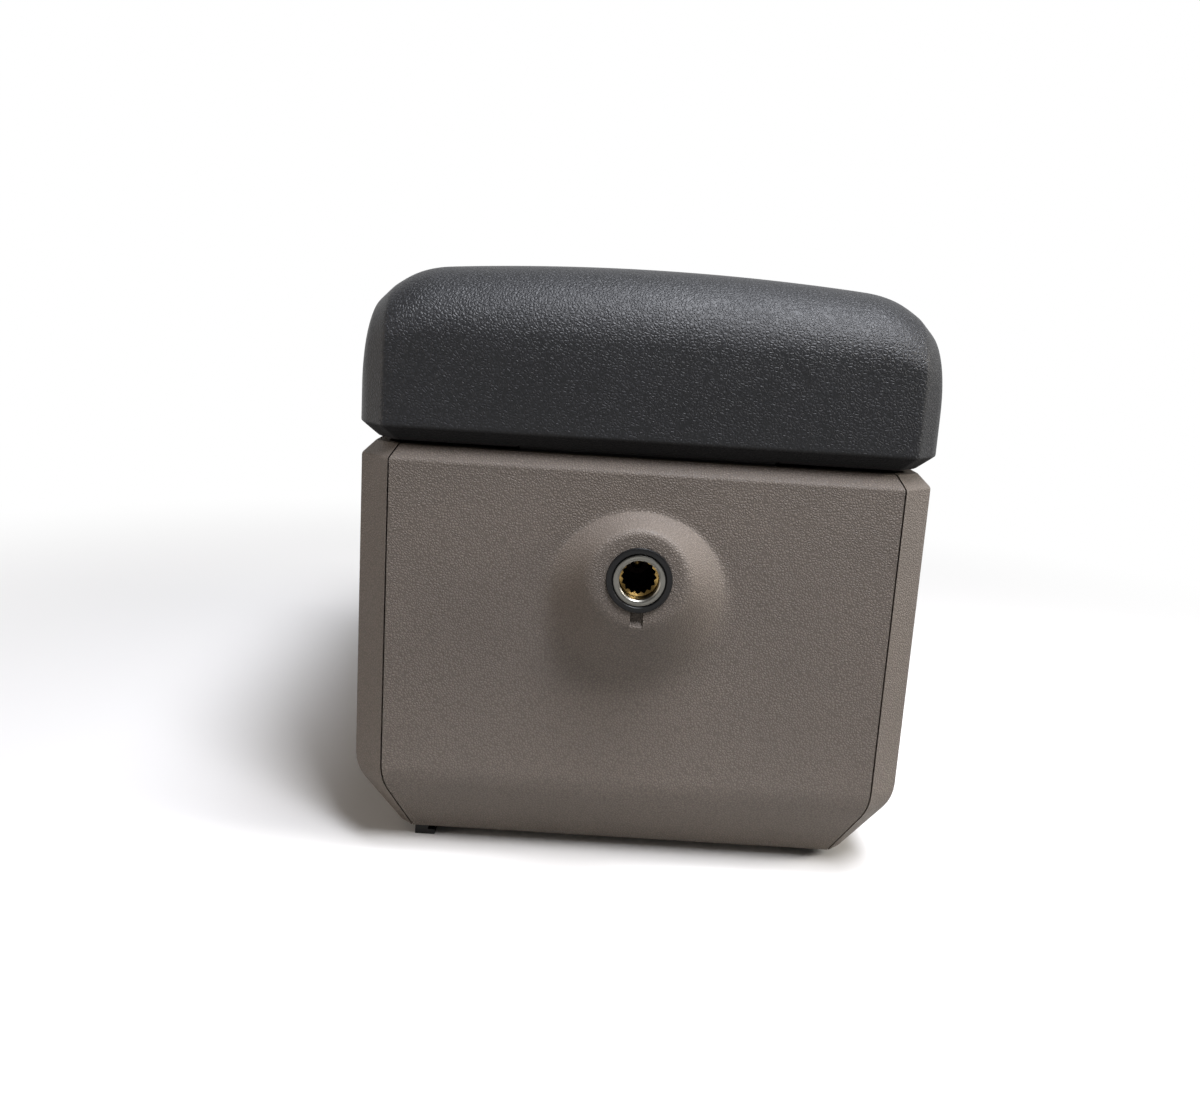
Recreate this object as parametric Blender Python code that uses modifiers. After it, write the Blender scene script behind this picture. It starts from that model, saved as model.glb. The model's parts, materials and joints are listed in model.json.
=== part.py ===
"""Rear end of a centre console: a moulded storage box with a hinged, padded armrest lid.

Metres, +Z up. The face with the accessory socket looks towards -Y and +X is on its right.
The origin is on the ground, under the middle of the object's box.
"""

from math import atan, cos, pi, radians, sin, sqrt, tan

import bmesh
import bpy
from mathutils import Matrix, Vector

MM = 0.001
FIT_GAP = 0.3 * MM
SWEEP = 16
FINE_SWEEP = 32
HOLE_SIDES = 10
SCREW_SIDES = 10
SMOOTH_ANGLE = radians(40)

# Body: four moulded panels round a storage bin
BODY_LENGTH = 400 * MM
BODY_HALF_WIDTH = 156.8 * MM
CORNER_FACET = 18.2 * MM
SEAM_HALF_WIDTH = BODY_HALF_WIDTH - CORNER_FACET
BODY_TOP = 235.3 * MM
BODY_BOTTOM = 6.3 * MM
TOP_CHAMFER = 7 * MM
TOP_CREASE_RADIUS = 3 * MM
WALL = 3 * MM
SEAM_GAP = 0.9 * MM
SEAM_FOLLOW = 0.6
LOWER_CREASE = 45 * MM
LOWER_INSET = 25.2 * MM
LOWER_ROUND = 30 * MM
TOP_LIP = 14 * MM
LIP_OVERLAP = 34 * MM
LIP_LIFT = 0.2 * MM
END_LIP_SPARE = 30 * MM
SIDE_LIP_INSET = 65 * MM
LEDGE_REACH = 11 * MM
LEDGE_BASE = 1.5 * MM
LEDGE_THICKNESS = 2 * MM

# Boss of the accessory socket, on the rear panel
BOSS_X = -1.5 * MM
BOSS_BASE_Z = 160 * MM
BOSS_FACE_Z = 175.6 * MM
BOSS_PROUD = 25 * MM
BOSS_BASE_RADIUS = 46.5 * MM
BOSS_FACE_RADIUS = 27 * MM
BOSS_FLARE = 3.5 * MM
BOSS_EDGE = 4 * MM
BOSS_WALL = 3.6 * MM
BEZEL_RADIUS = 17.6 * MM
BEZEL_PROUD = 1.6 * MM
SLEEVE_RADIUS = 15.4 * MM
RIM_RADIUS = 13.8 * MM
SOCKET_BORE = 10.6 * MM
SOCKET_DEPTH = 50 * MM
NOTCH_WIDTH = 7 * MM
NOTCH_END_Z = 149.6 * MM
NOTCH_RAMP = 3.4 * MM
NOTCH_FLOOR = 0.9 * MM
NOTCH_STEP = 0.6 * MM
SLEEVE_DEPTH = 14 * MM
SOCKET_WALL = 1.2 * MM
NUT_LENGTH = 5 * MM
NUT_FLANGE = 1.5 * MM
CONTACT_RADIUS = 3.4 * MM
TAB_RADIUS = 9.5 * MM
TAB_THICKNESS = 0.8 * MM
TAB_LENGTH = 11 * MM
TAB_HALF_WIDTH = 3.15 * MM

# Lid
LID_OVERHANG = 2.5 * MM
LID_SIDE_OVERHANG = 2.9 * MM
LID_GAP = 2.5 * MM
LID_BEVEL = 8.3 * MM
LID_HALF_WIDTH = BODY_HALF_WIDTH + LID_SIDE_OVERHANG
LID_FACET = 16.7 * MM
LID_FACET_X = LID_HALF_WIDTH - LID_FACET
LID_ROLL = 45 * MM
LID_HEIGHT = 98.4 * MM
LID_SHOULDERS = ((-10 * MM, 3 * MM), (0, 11 * MM))
LID_SIDE_DROPS = (25 * MM, 39 * MM, 50 * MM, 84 * MM)
LID_CROWN_ACROSS = 7.5 * MM
LID_CROWN_ALONG = 1.6 * MM
LID_BOTTOM = BODY_TOP + LID_GAP
LID_TOP = LID_BOTTOM + LID_HEIGHT
PANEL_THICKNESS = 3.5 * MM

# The object's box is centred on the origin, from the socket's bezel to the lid's front face
REAR = -(BODY_LENGTH + LID_OVERHANG + BOSS_PROUD + BEZEL_PROUD) / 2 + BOSS_PROUD + BEZEL_PROUD
FRONT = REAR + BODY_LENGTH

# Storage bin
BIN_SIDE_ROOM = 24.8 * MM
BIN_HALF_WIDTH = BODY_HALF_WIDTH - BIN_SIDE_ROOM
BIN_REAR = REAR + 55 * MM
BIN_FRONT = FRONT - 42 * MM
BIN_FLOOR = 53 * MM
BIN_DRAFT = 6 * MM
BIN_CORNER = 16 * MM
BIN_FILLET = 9 * MM
BIN_MOUTH_ROLL = WALL + 0.5 * MM
BIN_LEAST_CORNER = 6 * MM
FLANGE_CORNER = 24 * MM
FLANGE_END_ROOM = 2.2 * MM
BIN_SCREW_X = 60 * MM
BIN_SCREW_INSET = 80 * MM
MAT_CORNER = 9 * MM
MAT_CLEARANCE = 1 * MM
FLANGE_TOP = BODY_TOP - WALL - FIT_GAP
MAT_THICKNESS = 2 * MM

# Base frame, pressed from sheet steel
SHEET = 3 * MM
FOOT_HALF_WIDTH = BODY_HALF_WIDTH - 37.8 * MM
FOOT_INSET = 40 * MM
WEB_HALF_WIDTH = FOOT_HALF_WIDTH - 21 * MM
WEB_INSET = FOOT_INSET + 30 * MM
WEB_BEND = 3 * MM
SHELF_WIDTH = 18 * MM
TOE_STRIP = 8 * MM
TOE_STRIP_END = 60 * MM
TOE_X = (-FOOT_HALF_WIDTH - 3.6 * MM, -FOOT_HALF_WIDTH + 4 * MM)
END_FEET_X = 70 * MM
SIDE_FEET_X = FOOT_HALF_WIDTH - 9 * MM
END_FEET_INSET = FOOT_INSET + 12 * MM
SIDE_FEET_INSET = 100 * MM
TOE_REACH = 27 * MM
TOE_HEIGHT = 5.9 * MM

# Hinge, hidden behind the groove between lid and body, with a base leaf cranked over the panel's lip
HINGE_Y = REAR + 7.5 * MM
KNUCKLE_RADIUS = 1.8 * MM
HINGE_PIN_RADIUS = 1 * MM
HINGE_Z = LID_BOTTOM + PANEL_THICKNESS - KNUCKLE_RADIUS
HINGE_HALF_LENGTH = 70 * MM
KNUCKLES = 5
LEAF = 1.2 * MM
LID_TAB_TOP = HINGE_Z + KNUCKLE_RADIUS - 0.1 * MM
BASE_TAB_BOTTOM = HINGE_Z - 1.4 * MM
CRANK_GAP = 1.5 * MM
LEAF_REACH = 34 * MM
LEAF_SCREW_X = (55 * MM, 28 * MM)
LEAF_SCREW_Y = REAR + 30 * MM
KNUCKLE_CLEARANCE = 0.4 * MM

# Latch, a sprung paddle in the lid's front edge
LATCH_Y = FRONT - 6 * MM
LATCH_Z = 262 * MM
LATCH_PIN_RADIUS = 2 * MM
PADDLE_HALF_WIDTH = 37 * MM
PADDLE_THICKNESS = 3.5 * MM
PADDLE_TOP = 264.5 * MM
PADDLE_BOTTOM = 240 * MM
PADDLE_HUB = 4.6 * MM
HOOK_Y = (FRONT - 30 * MM, FRONT - 26 * MM)
HOOK_HALF_WIDTH = 8 * MM
ARM_HALF_WIDTH = 20 * MM
ARM_Z = (255 * MM, 260 * MM)
BARB_REACH = 3.5 * MM
BARB_HEIGHT = 3.2 * MM
STRIKER_THICKNESS = 2 * MM
STRIKER_HALF_WIDTH = 30 * MM
STRIKER_Y = (FRONT - 38 * MM, FRONT - 14.4 * MM)
STRIKER_WINDOW_Y = (FRONT - 30.6 * MM, FRONT - 18 * MM)
STRIKER_WINDOW_HALF = 10 * MM
STRIKER_SCREW_X = 22 * MM
SPRING_X = 14.5 * MM
SPRING_Y = FRONT - 23 * MM
SPRING_RADIUS = 3.2 * MM
SPRING_WIRE = 0.5 * MM
SPRING_TURNS = 5

# Lid inside
PANEL_TOP = LID_BOTTOM + PANEL_THICKNESS
PANEL_HALF_WIDTH = LID_FACET_X
PANEL_INSET = 14 * MM
PANEL_CORNER = 20 * MM
PANEL_BORDER = 46 * MM
PANEL_STEP = 9 * MM
PANEL_FIELD_CORNER = 14 * MM
PANEL_RISE = 12 * MM
FRAME_STEP = 3 * MM
FRAME_CORNER = 18 * MM
FRAME_HALF_WIDTH = PANEL_HALF_WIDTH - FRAME_STEP
FRAME_INSET = PANEL_INSET + FRAME_STEP
FRAME_TOP = 316 * MM
FRAME_BOTTOM = PANEL_TOP + FIT_GAP
PANEL_SCREW_X = FRAME_HALF_WIDTH - 35 * MM
PANEL_SCREW_INSET = 70 * MM
TOWER_RADII = (5 * MM, 7 * MM)
LEAF_BLOCK = 7 * MM
LEAF_BLOCK_TOP = FRAME_TOP - 24 * MM
LUG_X = (PADDLE_HALF_WIDTH + 2 * MM, PADDLE_HALF_WIDTH + 6.5 * MM)
LUG_Z = (LATCH_Z - 6 * MM, LATCH_Z + 6 * MM)
LUG_INSET = 1.5 * MM

# Screws
SCREW_RADIUS = 2 * MM
SCREW_HEAD_RADIUS = 4 * MM
SCREW_HEAD_HEIGHT = 2.2 * MM
SCREW_CLEARANCE = 0.3 * MM
FOOT_RADIUS = 7 * MM

BUMPER_X = SEAM_HALF_WIDTH
BUMPER_INSETS = (80 * MM, 70 * MM)
BUMPER_RADIUS = 3.2 * MM
BUMPER_STEM = 1.7 * MM
SHORT_SCREW = 10 * MM
MIDDLE_SCREW = 12 * MM
LONG_SCREW = 14 * MM

TAUPE = (0.125, 0.108, 0.094)
CHARCOAL = (0.028, 0.029, 0.032)
BLACK = (0.012, 0.012, 0.013)
STEEL = (0.45, 0.45, 0.46)
BRASS = (0.60, 0.42, 0.16)
NICKEL = (0.55, 0.54, 0.51)
BROWN = (0.10, 0.045, 0.02)


def clear_scene():
    for old in list(bpy.data.objects):
        bpy.data.objects.remove(old, do_unlink=True)


def new_collection(name):
    group = bpy.data.collections.new(name)
    bpy.context.scene.collection.children.link(group)
    return group


clear_scene()
PARTS = new_collection("center console armrest box")
CUTTERS = new_collection("cutters")


def new_material(name, colour, roughness, metallic=0.0):
    material = bpy.data.materials.new(name)
    material.use_nodes = True
    shader = material.node_tree.nodes["Principled BSDF"]
    shader.inputs["Base Color"].default_value = (*colour, 1)
    shader.inputs["Roughness"].default_value = roughness
    shader.inputs["Metallic"].default_value = metallic
    return material


def finish(name, form, material=None, is_open=False):
    """A part from a bmesh, or a cutter where it has no material."""
    bmesh.ops.remove_doubles(form, verts=form.verts, dist=1e-6)
    if not is_open:
        bmesh.ops.recalc_face_normals(form, faces=form.faces)
    mesh = bpy.data.meshes.new(name)
    form.to_mesh(mesh)
    form.free()
    made = bpy.data.objects.new(name, mesh)
    if material is None:
        made.hide_render = True
        made.display_type = "WIRE"
        CUTTERS.objects.link(made)
        return made
    mesh.materials.append(material)
    mesh.shade_smooth()
    mesh.set_sharp_from_angle(angle=SMOOTH_ANGLE)
    PARTS.objects.link(made)
    return made


def boolean(target, tool, operation):
    modifier = target.modifiers.new(tool.name, "BOOLEAN")
    modifier.operation = operation
    modifier.object = tool
    return target


def cut(target, *tools):
    for tool in tools:
        boolean(target, tool, "DIFFERENCE")
    return target


def join(target, *tools):
    for tool in tools:
        boolean(target, tool, "UNION")
    return target


def add_box(form, x, y, z):
    size = Vector((x[1] - x[0], y[1] - y[0], z[1] - z[0]))
    middle = Vector((x[0] + x[1], y[0] + y[1], z[0] + z[1])) / 2
    place = Matrix.Translation(middle) @ Matrix.Diagonal((*size, 1))
    return bmesh.ops.create_cube(form, size=1, matrix=place)["verts"]


def box(name, x, y, z, material=None):
    form = bmesh.new()
    add_box(form, x, y, z)
    return finish(name, form, material)


def add_rod(form, start, end, radius, sides=SWEEP, end_radius=None):
    start, end = Vector(start), Vector(end)
    turn = (end - start).to_track_quat("Z", "Y").to_matrix().to_4x4()
    bmesh.ops.create_cone(
        form,
        cap_ends=True,
        segments=sides,
        radius1=radius,
        radius2=radius if end_radius is None else end_radius,
        depth=(end - start).length,
        matrix=Matrix.Translation((start + end) / 2) @ turn,
    )


def rod(name, start, end, radius, material=None, sides=SWEEP, end_radius=None):
    form = bmesh.new()
    add_rod(form, start, end, radius, sides, end_radius)
    return finish(name, form, material)


def loft(name, rings, material=None, caps=(True, True)):
    """Skins rings that have equal counts of points, with a cap on the first and the last."""
    form = bmesh.new()
    loops = [[form.verts.new(point) for point in ring] for ring in rings]
    for low, high in zip(loops, loops[1:]):
        for here in range(len(low)):
            after = (here + 1) % len(low)
            form.faces.new((low[here], low[after], high[after], high[here]))
    if caps[0]:
        form.faces.new(reversed(loops[0]))
    if caps[1]:
        form.faces.new(loops[-1])
    return finish(name, form, material, is_open=not all(caps))


def shell(target, thickness, outwards=False):
    """Thickens an open surface on its back, or on the side its faces look to."""
    modifier = target.modifiers.new("wall", "SOLIDIFY")
    modifier.thickness = thickness
    modifier.offset = 1 if outwards else -1
    modifier.use_even_offset = True
    return target


def rounded_rectangle(half_x, low_y, high_y, radius, z, steps=4):
    """Points round a rectangle with round corners, seen from above, counter-clockwise."""
    points = []
    corners = ((1, high_y - radius), (-1, high_y - radius), (-1, low_y + radius), (1, low_y + radius))
    for quarter, (side, middle_y) in enumerate(corners):
        for step in range(steps + 1):
            angle = (quarter + step / steps) * pi / 2
            x = side * (half_x - radius) + radius * cos(angle)
            points.append((x, middle_y + radius * sin(angle), z))
    return points


def turned(name, profile, place, material, steps=SWEEP, towards_rear=False):
    """A closed or axis-to-axis profile of (radius, height) pairs swept round its own axis."""
    form = bmesh.new()
    points = [form.verts.new((radius, 0, height)) for radius, height in profile]
    for first, second in zip(points, points[1:]):
        form.edges.new((first, second))
    if profile[0][0] > 0:
        form.edges.new((points[-1], points[0]))
    mesh = bpy.data.meshes.new(name)
    form.to_mesh(mesh)
    form.free()
    mesh.materials.append(material)
    made = bpy.data.objects.new(name, mesh)
    PARTS.objects.link(made)
    made.location = place
    if towards_rear:
        made.rotation_euler = (radians(90), 0, 0)
    modifier = made.modifiers.new("turning", "SCREW")
    modifier.steps = modifier.render_steps = steps
    modifier.use_merge_vertices = True
    modifier.merge_threshold = 1e-5
    modifier.use_smooth_shade = True
    return made


def carry(joint, *pieces):
    """Hangs pieces on a joint's empty and leaves them where they are."""
    for piece in pieces:
        piece.parent = joint
        piece.matrix_parent_inverse = Matrix.Translation(joint.location).inverted()


def axis_empty(name, place):
    empty = bpy.data.objects.new(name, None)
    empty.location = place
    empty.empty_display_size = 0.02
    PARTS.objects.link(empty)
    return empty


# Outer form of the body

LOWER_SLOPE = atan(LOWER_INSET / (LOWER_CREASE - BODY_BOTTOM))


def top_crease_start():
    """Height at which a face starts to turn into the chamfer along its top edge."""
    return BODY_TOP - TOP_CHAMFER - TOP_CREASE_RADIUS * tan(pi / 8)


def edge_inset(z):
    """How far the body's faces have gone in at a height: top chamfer, lower roll and slope."""
    above = z - top_crease_start()
    if above > TOP_CREASE_RADIUS * sin(pi / 4):
        return z - (BODY_TOP - TOP_CHAMFER)
    if above > 0:
        return TOP_CREASE_RADIUS - sqrt(TOP_CREASE_RADIUS**2 - above**2)
    roll = LOWER_ROUND * tan(LOWER_SLOPE / 2)
    below = LOWER_CREASE + roll - z
    if below <= 0:
        return 0.0
    if below < LOWER_ROUND * sin(LOWER_SLOPE):
        return LOWER_ROUND - sqrt(LOWER_ROUND**2 - below**2)
    return (LOWER_CREASE - z) * tan(LOWER_SLOPE)


def side_x(z):
    return BODY_HALF_WIDTH - edge_inset(z)


def seam_x(z):
    return SEAM_HALF_WIDTH - SEAM_FOLLOW * edge_inset(z)


def body_levels():
    """Heights at which the panels have a row of points, bottom to top."""
    roll = LOWER_ROUND * tan(LOWER_SLOPE / 2)
    steps = 4
    lower = [
        LOWER_CREASE + roll - LOWER_ROUND * sin(LOWER_SLOPE * (1 - step / steps)) for step in range(steps + 1)
    ]
    upper = [top_crease_start() + TOP_CREASE_RADIUS * sin(step * pi / 12) for step in range(4)]
    return [BODY_BOTTOM, *lower, *upper, BODY_TOP]


def with_top_lip(levels):
    """Adds the pair of rows where the wall steps inwards into the top lip."""
    under_lip = BODY_TOP - WALL
    below = [z for z in levels if z < under_lip]
    above = [z for z in levels if z > under_lip]
    return [(z, False) for z in below + [under_lip]] + [(z, True) for z in [under_lip] + above]


def end_panel_rings(face, inwards):
    """Rings of a rear or front panel between its two seams. Only the lip parts wall and back."""
    rings = []
    for z, in_lip in with_top_lip(body_levels()):
        half = seam_x(z)
        outer = face + inwards * edge_inset(z)
        wall = face + inwards * (edge_inset(z) + wall_across(z))
        back = face + inwards * TOP_LIP if in_lip else wall
        right = [(half, outer, z), (half, wall, z), (half, back, z)]
        rings.append([(-x, y, z) for x, y, z in reversed(right)] + right)
    return rings


def wall_across(z):
    """Level thickness of a panel, which is thicker across where its face slopes."""
    return WALL / cos(LOWER_SLOPE) if z < LOWER_CREASE else WALL


def side_panel_rings(side):
    """Rings of a side panel, which wraps both vertical corners with a facet."""
    rings = []
    slant = tan(radians(22.5))
    for z, in_lip in with_top_lip(body_levels()):
        inset = edge_inset(z)
        edge = seam_x(z) + SEAM_GAP
        outer = side_x(z)
        facet = outer - edge
        wall_back = inset + wall_across(z) * sqrt(2)
        inner, back = outer - wall_across(z), wall_back
        corner = inset + facet + wall_across(z) * slant
        if in_lip:
            inner, back = BODY_HALF_WIDTH - TOP_LIP, TOP_LIP
            corner = TOP_LIP + inner - edge
        half = [(edge, wall_back), (edge, inset), (outer, inset + facet)]
        inside = [(inner, corner), (edge, back)]
        ring = [(x, REAR + y) for x, y in half]
        ring += [(x, FRONT - y) for x, y in reversed(half)]
        ring += [(x, FRONT - y) for x, y in reversed(inside)]
        ring += [(x, REAR + y) for x, y in inside]
        rings.append([(side * x, y, z) for x, y in ring])
    return rings


def lip_with_feet(name, x, y, feet):
    """Bottom lip of a panel, with the standoffs that rest on the base frame, as one tool."""
    lip_bottom = BODY_BOTTOM + LIP_LIFT
    form = bmesh.new()
    add_box(form, x, y, (lip_bottom, lip_bottom + WALL))
    lip = finish(name, form)
    for number, place in enumerate(feet):
        foot = rod(
            f"{name}_foot_{number}",
            (*place, SHEET + FIT_GAP),
            (*place, lip_bottom + WALL / 2),
            FOOT_RADIUS,
            sides=12,
        )
        join(lip, foot)
    holes = bmesh.new()
    for place in feet:
        add_rod(holes, (*place, 0), (*place, 4 * WALL), SCREW_RADIUS + SCREW_CLEARANCE, HOLE_SIDES)
    return cut(lip, finish(f"{name}_holes", holes))


def end_feet(face, inwards):
    return [(side * END_FEET_X, face + inwards * END_FEET_INSET) for side in (-1, 1)]


def side_feet(side):
    return [(side * SIDE_FEET_X, y) for y in (REAR + SIDE_FEET_INSET, FRONT - SIDE_FEET_INSET)]


def span(first, second):
    return min(first, second), max(first, second)


def end_lip(name, face, inwards):
    half = END_FEET_X + END_LIP_SPARE
    start = face + inwards * (LOWER_INSET + WALL / 2)
    depth = span(start, start + inwards * LIP_OVERLAP)
    return lip_with_feet(name, (-half, half), depth, end_feet(face, inwards))


def side_lip(name, side):
    outer = side * (side_x(BODY_BOTTOM) - WALL / 2)
    inner = side * (SIDE_FEET_X - 2 * SCREW_HEAD_RADIUS)
    along = (REAR + SIDE_LIP_INSET, FRONT - SIDE_LIP_INSET)
    return lip_with_feet(name, span(inner, outer), along, side_feet(side))


# Rear panel, with the boss of the accessory socket


def boss_profile(shrink, steps):
    """(proud, radius) pairs from the foot flare up the cone and round the face's edge."""
    top = BOSS_PROUD - shrink
    reach = BOSS_BASE_RADIUS - BOSS_FACE_RADIUS
    edge = (BOSS_FACE_RADIUS + reach * BOSS_EDGE / BOSS_PROUD - shrink, top - BOSS_EDGE)
    corner = (BOSS_FACE_RADIUS - shrink, top)
    flat = (BOSS_FACE_RADIUS - shrink - BOSS_EDGE, top)
    pairs = []
    flare_height = 3 * BOSS_FLARE
    for step in range(steps):
        proud = flare_height * step / steps
        rest = 1 - proud / flare_height
        cone = BOSS_BASE_RADIUS - shrink - reach * proud / BOSS_PROUD
        pairs.append((proud, cone + BOSS_FLARE * rest**2))
    for step in range(steps):
        t = step / (steps - 1)
        radius = (1 - t) ** 2 * edge[0] + 2 * t * (1 - t) * corner[0] + t**2 * flat[0]
        proud = (1 - t) ** 2 * edge[1] + 2 * t * (1 - t) * corner[1] + t**2 * flat[1]
        pairs.append((proud, radius))
    return pairs


def boss_rings(shrink, foot_depth, sides, steps):
    """Circles whose middle climbs from the foot to the face, so the top flank is the steep one."""
    profile = boss_profile(shrink, steps)
    profile = [(-foot_depth, profile[0][1])] + profile
    rings = []
    for proud, radius in profile:
        share = max(proud, 0) / BOSS_PROUD
        flare = max(radius - (BOSS_BASE_RADIUS - shrink), 0)
        middle = BOSS_BASE_Z + (BOSS_FACE_Z - BOSS_BASE_Z) * share - flare
        angles = (2 * pi * side / sides for side in range(sides))
        rings.append(
            [(BOSS_X + radius * cos(a), REAR - proud, middle + radius * sin(a)) for a in angles]
        )
    return rings


def strap_notch():
    """Wedge under the bezel: deep beside it, then a floor that ramps up to the boss's face."""
    face = REAR - BOSS_PROUD
    depth = BOSS_WALL - NOTCH_FLOOR
    ramp_start = NOTCH_END_Z + NOTCH_RAMP
    outline = [
        (face - MM, BOSS_FACE_Z),
        (face + depth, BOSS_FACE_Z),
        (face + depth, ramp_start),
        (face + NOTCH_STEP, NOTCH_END_Z),
        (face - MM, NOTCH_END_Z),
    ]
    low, high = BOSS_X - NOTCH_WIDTH / 2, BOSS_X + NOTCH_WIDTH / 2
    return loft("strap_notch_cutter", [[(x, y, z) for y, z in outline] for x in (low, high)])


def build_rear_panel(material):
    panel = loft("rear_panel", end_panel_rings(REAR, 1), material)
    join(panel, loft("boss_form", boss_rings(0, WALL / 2, 40, 5)))
    cut(panel, loft("boss_hollow", boss_rings(BOSS_WALL, WALL + MM, 28, 4)))
    face = REAR - BOSS_PROUD
    bore = rod(
        "sleeve_hole",
        (BOSS_X, face - MM, BOSS_FACE_Z),
        (BOSS_X, face + 2 * BOSS_WALL, BOSS_FACE_Z),
        SLEEVE_RADIUS + FIT_GAP,
        sides=FINE_SWEEP,
    )
    cut(panel, bore, strap_notch())
    return join(panel, end_lip("rear_panel_lip", REAR, 1))


def build_front_panel(material):
    rings = [list(reversed(ring)) for ring in end_panel_rings(FRONT, -1)]
    panel = loft("front_panel", rings, material)
    return join(panel, end_lip("front_panel_lip", FRONT, -1))


def build_side_panel(name, side, material):
    """The ledges behind both seams keep light out of the box."""
    panel = loft(name, side_panel_rings(side), material)
    low = LOWER_CREASE + LOWER_ROUND
    high = FLANGE_TOP - WALL - MM
    inner = SEAM_HALF_WIDTH - LEDGE_REACH
    outer = SEAM_HALF_WIDTH + SEAM_GAP + LEDGE_BASE
    depth = WALL + FIT_GAP
    for end, face, inwards in (("rear", REAR, 1), ("front", FRONT, -1)):
        ledge_y = span(face + inwards * depth, face + inwards * (depth + LEDGE_THICKNESS))
        join(panel, box(f"{name}_{end}_ledge", span(side * inner, side * outer), ledge_y, (low, high)))
    return join(panel, side_lip(f"{name}_lip", side))


# Storage bin, mat and base frame


def bin_rings():
    """The tub's inner surface: rim flange, rolled mouth, drafted wall, fillet and floor."""
    margin = WALL + edge_inset(FLANGE_TOP) + 2 * FIT_GAP
    flange_low, flange_high = REAR + margin + FLANGE_END_ROOM, FRONT - margin - FLANGE_END_ROOM
    rings = [rounded_rectangle(BODY_HALF_WIDTH - margin, flange_low, flange_high, FLANGE_CORNER, FLANGE_TOP)]
    wall_height = FLANGE_TOP - BIN_FLOOR
    for step in range(3):
        angle = step * pi / 4
        grow = BIN_MOUTH_ROLL * (1 - sin(angle))
        z = FLANGE_TOP - BIN_MOUTH_ROLL * (1 - cos(angle))
        rings.append(
            rounded_rectangle(BIN_HALF_WIDTH + grow, BIN_REAR - grow, BIN_FRONT + grow, BIN_CORNER + grow, z)
        )
    for step in range(5):
        angle = step * pi / 8
        z = BIN_FLOOR + BIN_FILLET * (1 - sin(angle))
        lean = BIN_DRAFT * (FLANGE_TOP - z) / wall_height
        inset = lean + BIN_FILLET * (1 - cos(angle))
        rings.append(
            rounded_rectangle(
                BIN_HALF_WIDTH - inset,
                BIN_REAR + inset,
                BIN_FRONT - inset,
                max(BIN_CORNER - 0.6 * inset, BIN_LEAST_CORNER),
                z,
            )
        )
    return rings


def places_both_sides(x, rear_inset, front_inset):
    """Four (x, y) places, two on each side, as far as the insets from the rear and the front."""
    return [(side * x, y) for side in (-1, 1) for y in (REAR + rear_inset, FRONT - front_inset)]


def bin_screw_places():
    return places_both_sides(BIN_SCREW_X, BIN_SCREW_INSET, BIN_SCREW_INSET)


def leaf_screw_places(owner):
    """The lid leaf's screws stand nearer the middle, clear of the base leaf's heads."""
    return [(side * LEAF_SCREW_X[owner], LEAF_SCREW_Y) for side in (-1, 1)]


def striker_screw_places():
    return [(side * STRIKER_SCREW_X, sum(STRIKER_Y) / 2) for side in (-1, 1)]


def bumper_places():
    return places_both_sides(BUMPER_X, *BUMPER_INSETS)


def hole_tool(name, places, low, high, radius=SCREW_RADIUS + SCREW_CLEARANCE):
    form = bmesh.new()
    for place in places:
        add_rod(form, (*place, low), (*place, high), radius, HOLE_SIDES)
    return finish(name, form)


def build_bin(material):
    tub = loft("storage_bin", bin_rings(), material, caps=(False, True))
    shell(tub, WALL)
    hook_room = box(
        "hook_room",
        (-STRIKER_WINDOW_HALF - 2 * MM, STRIKER_WINDOW_HALF + 2 * MM),
        (STRIKER_Y[0] + 2 * MM, STRIKER_WINDOW_Y[1]),
        (FLANGE_TOP - 2 * WALL, FLANGE_TOP + MM),
    )
    low, high = FLANGE_TOP - 2 * WALL, FLANGE_TOP + MM
    cut(tub, hook_room, hole_tool("leaf_holes", leaf_screw_places(0), low, high))
    cut(tub, hole_tool("striker_holes", striker_screw_places(), low, high))
    cut(tub, hole_tool("bumper_holes", bumper_places(), low, high, BUMPER_STEM + FIT_GAP))
    return cut(tub, hole_tool("bin_floor_holes", bin_screw_places(), BIN_FLOOR - 2 * WALL, BIN_FLOOR + MM))


def build_mat(material):
    lean = BIN_DRAFT + BIN_FILLET + MAT_CLEARANCE
    low, high = BIN_REAR + lean, BIN_FRONT - lean
    half = BIN_HALF_WIDTH - lean
    z = BIN_FLOOR + FIT_GAP
    rings = [rounded_rectangle(half, low, high, MAT_CORNER, level) for level in (z, z + MAT_THICKNESS)]
    mat = loft("bin_mat", rings, material)
    tool = hole_tool("mat_holes", bin_screw_places(), z - MM, z + 2 * MAT_THICKNESS, SCREW_HEAD_RADIUS + MM)
    return cut(mat, tool)


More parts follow.
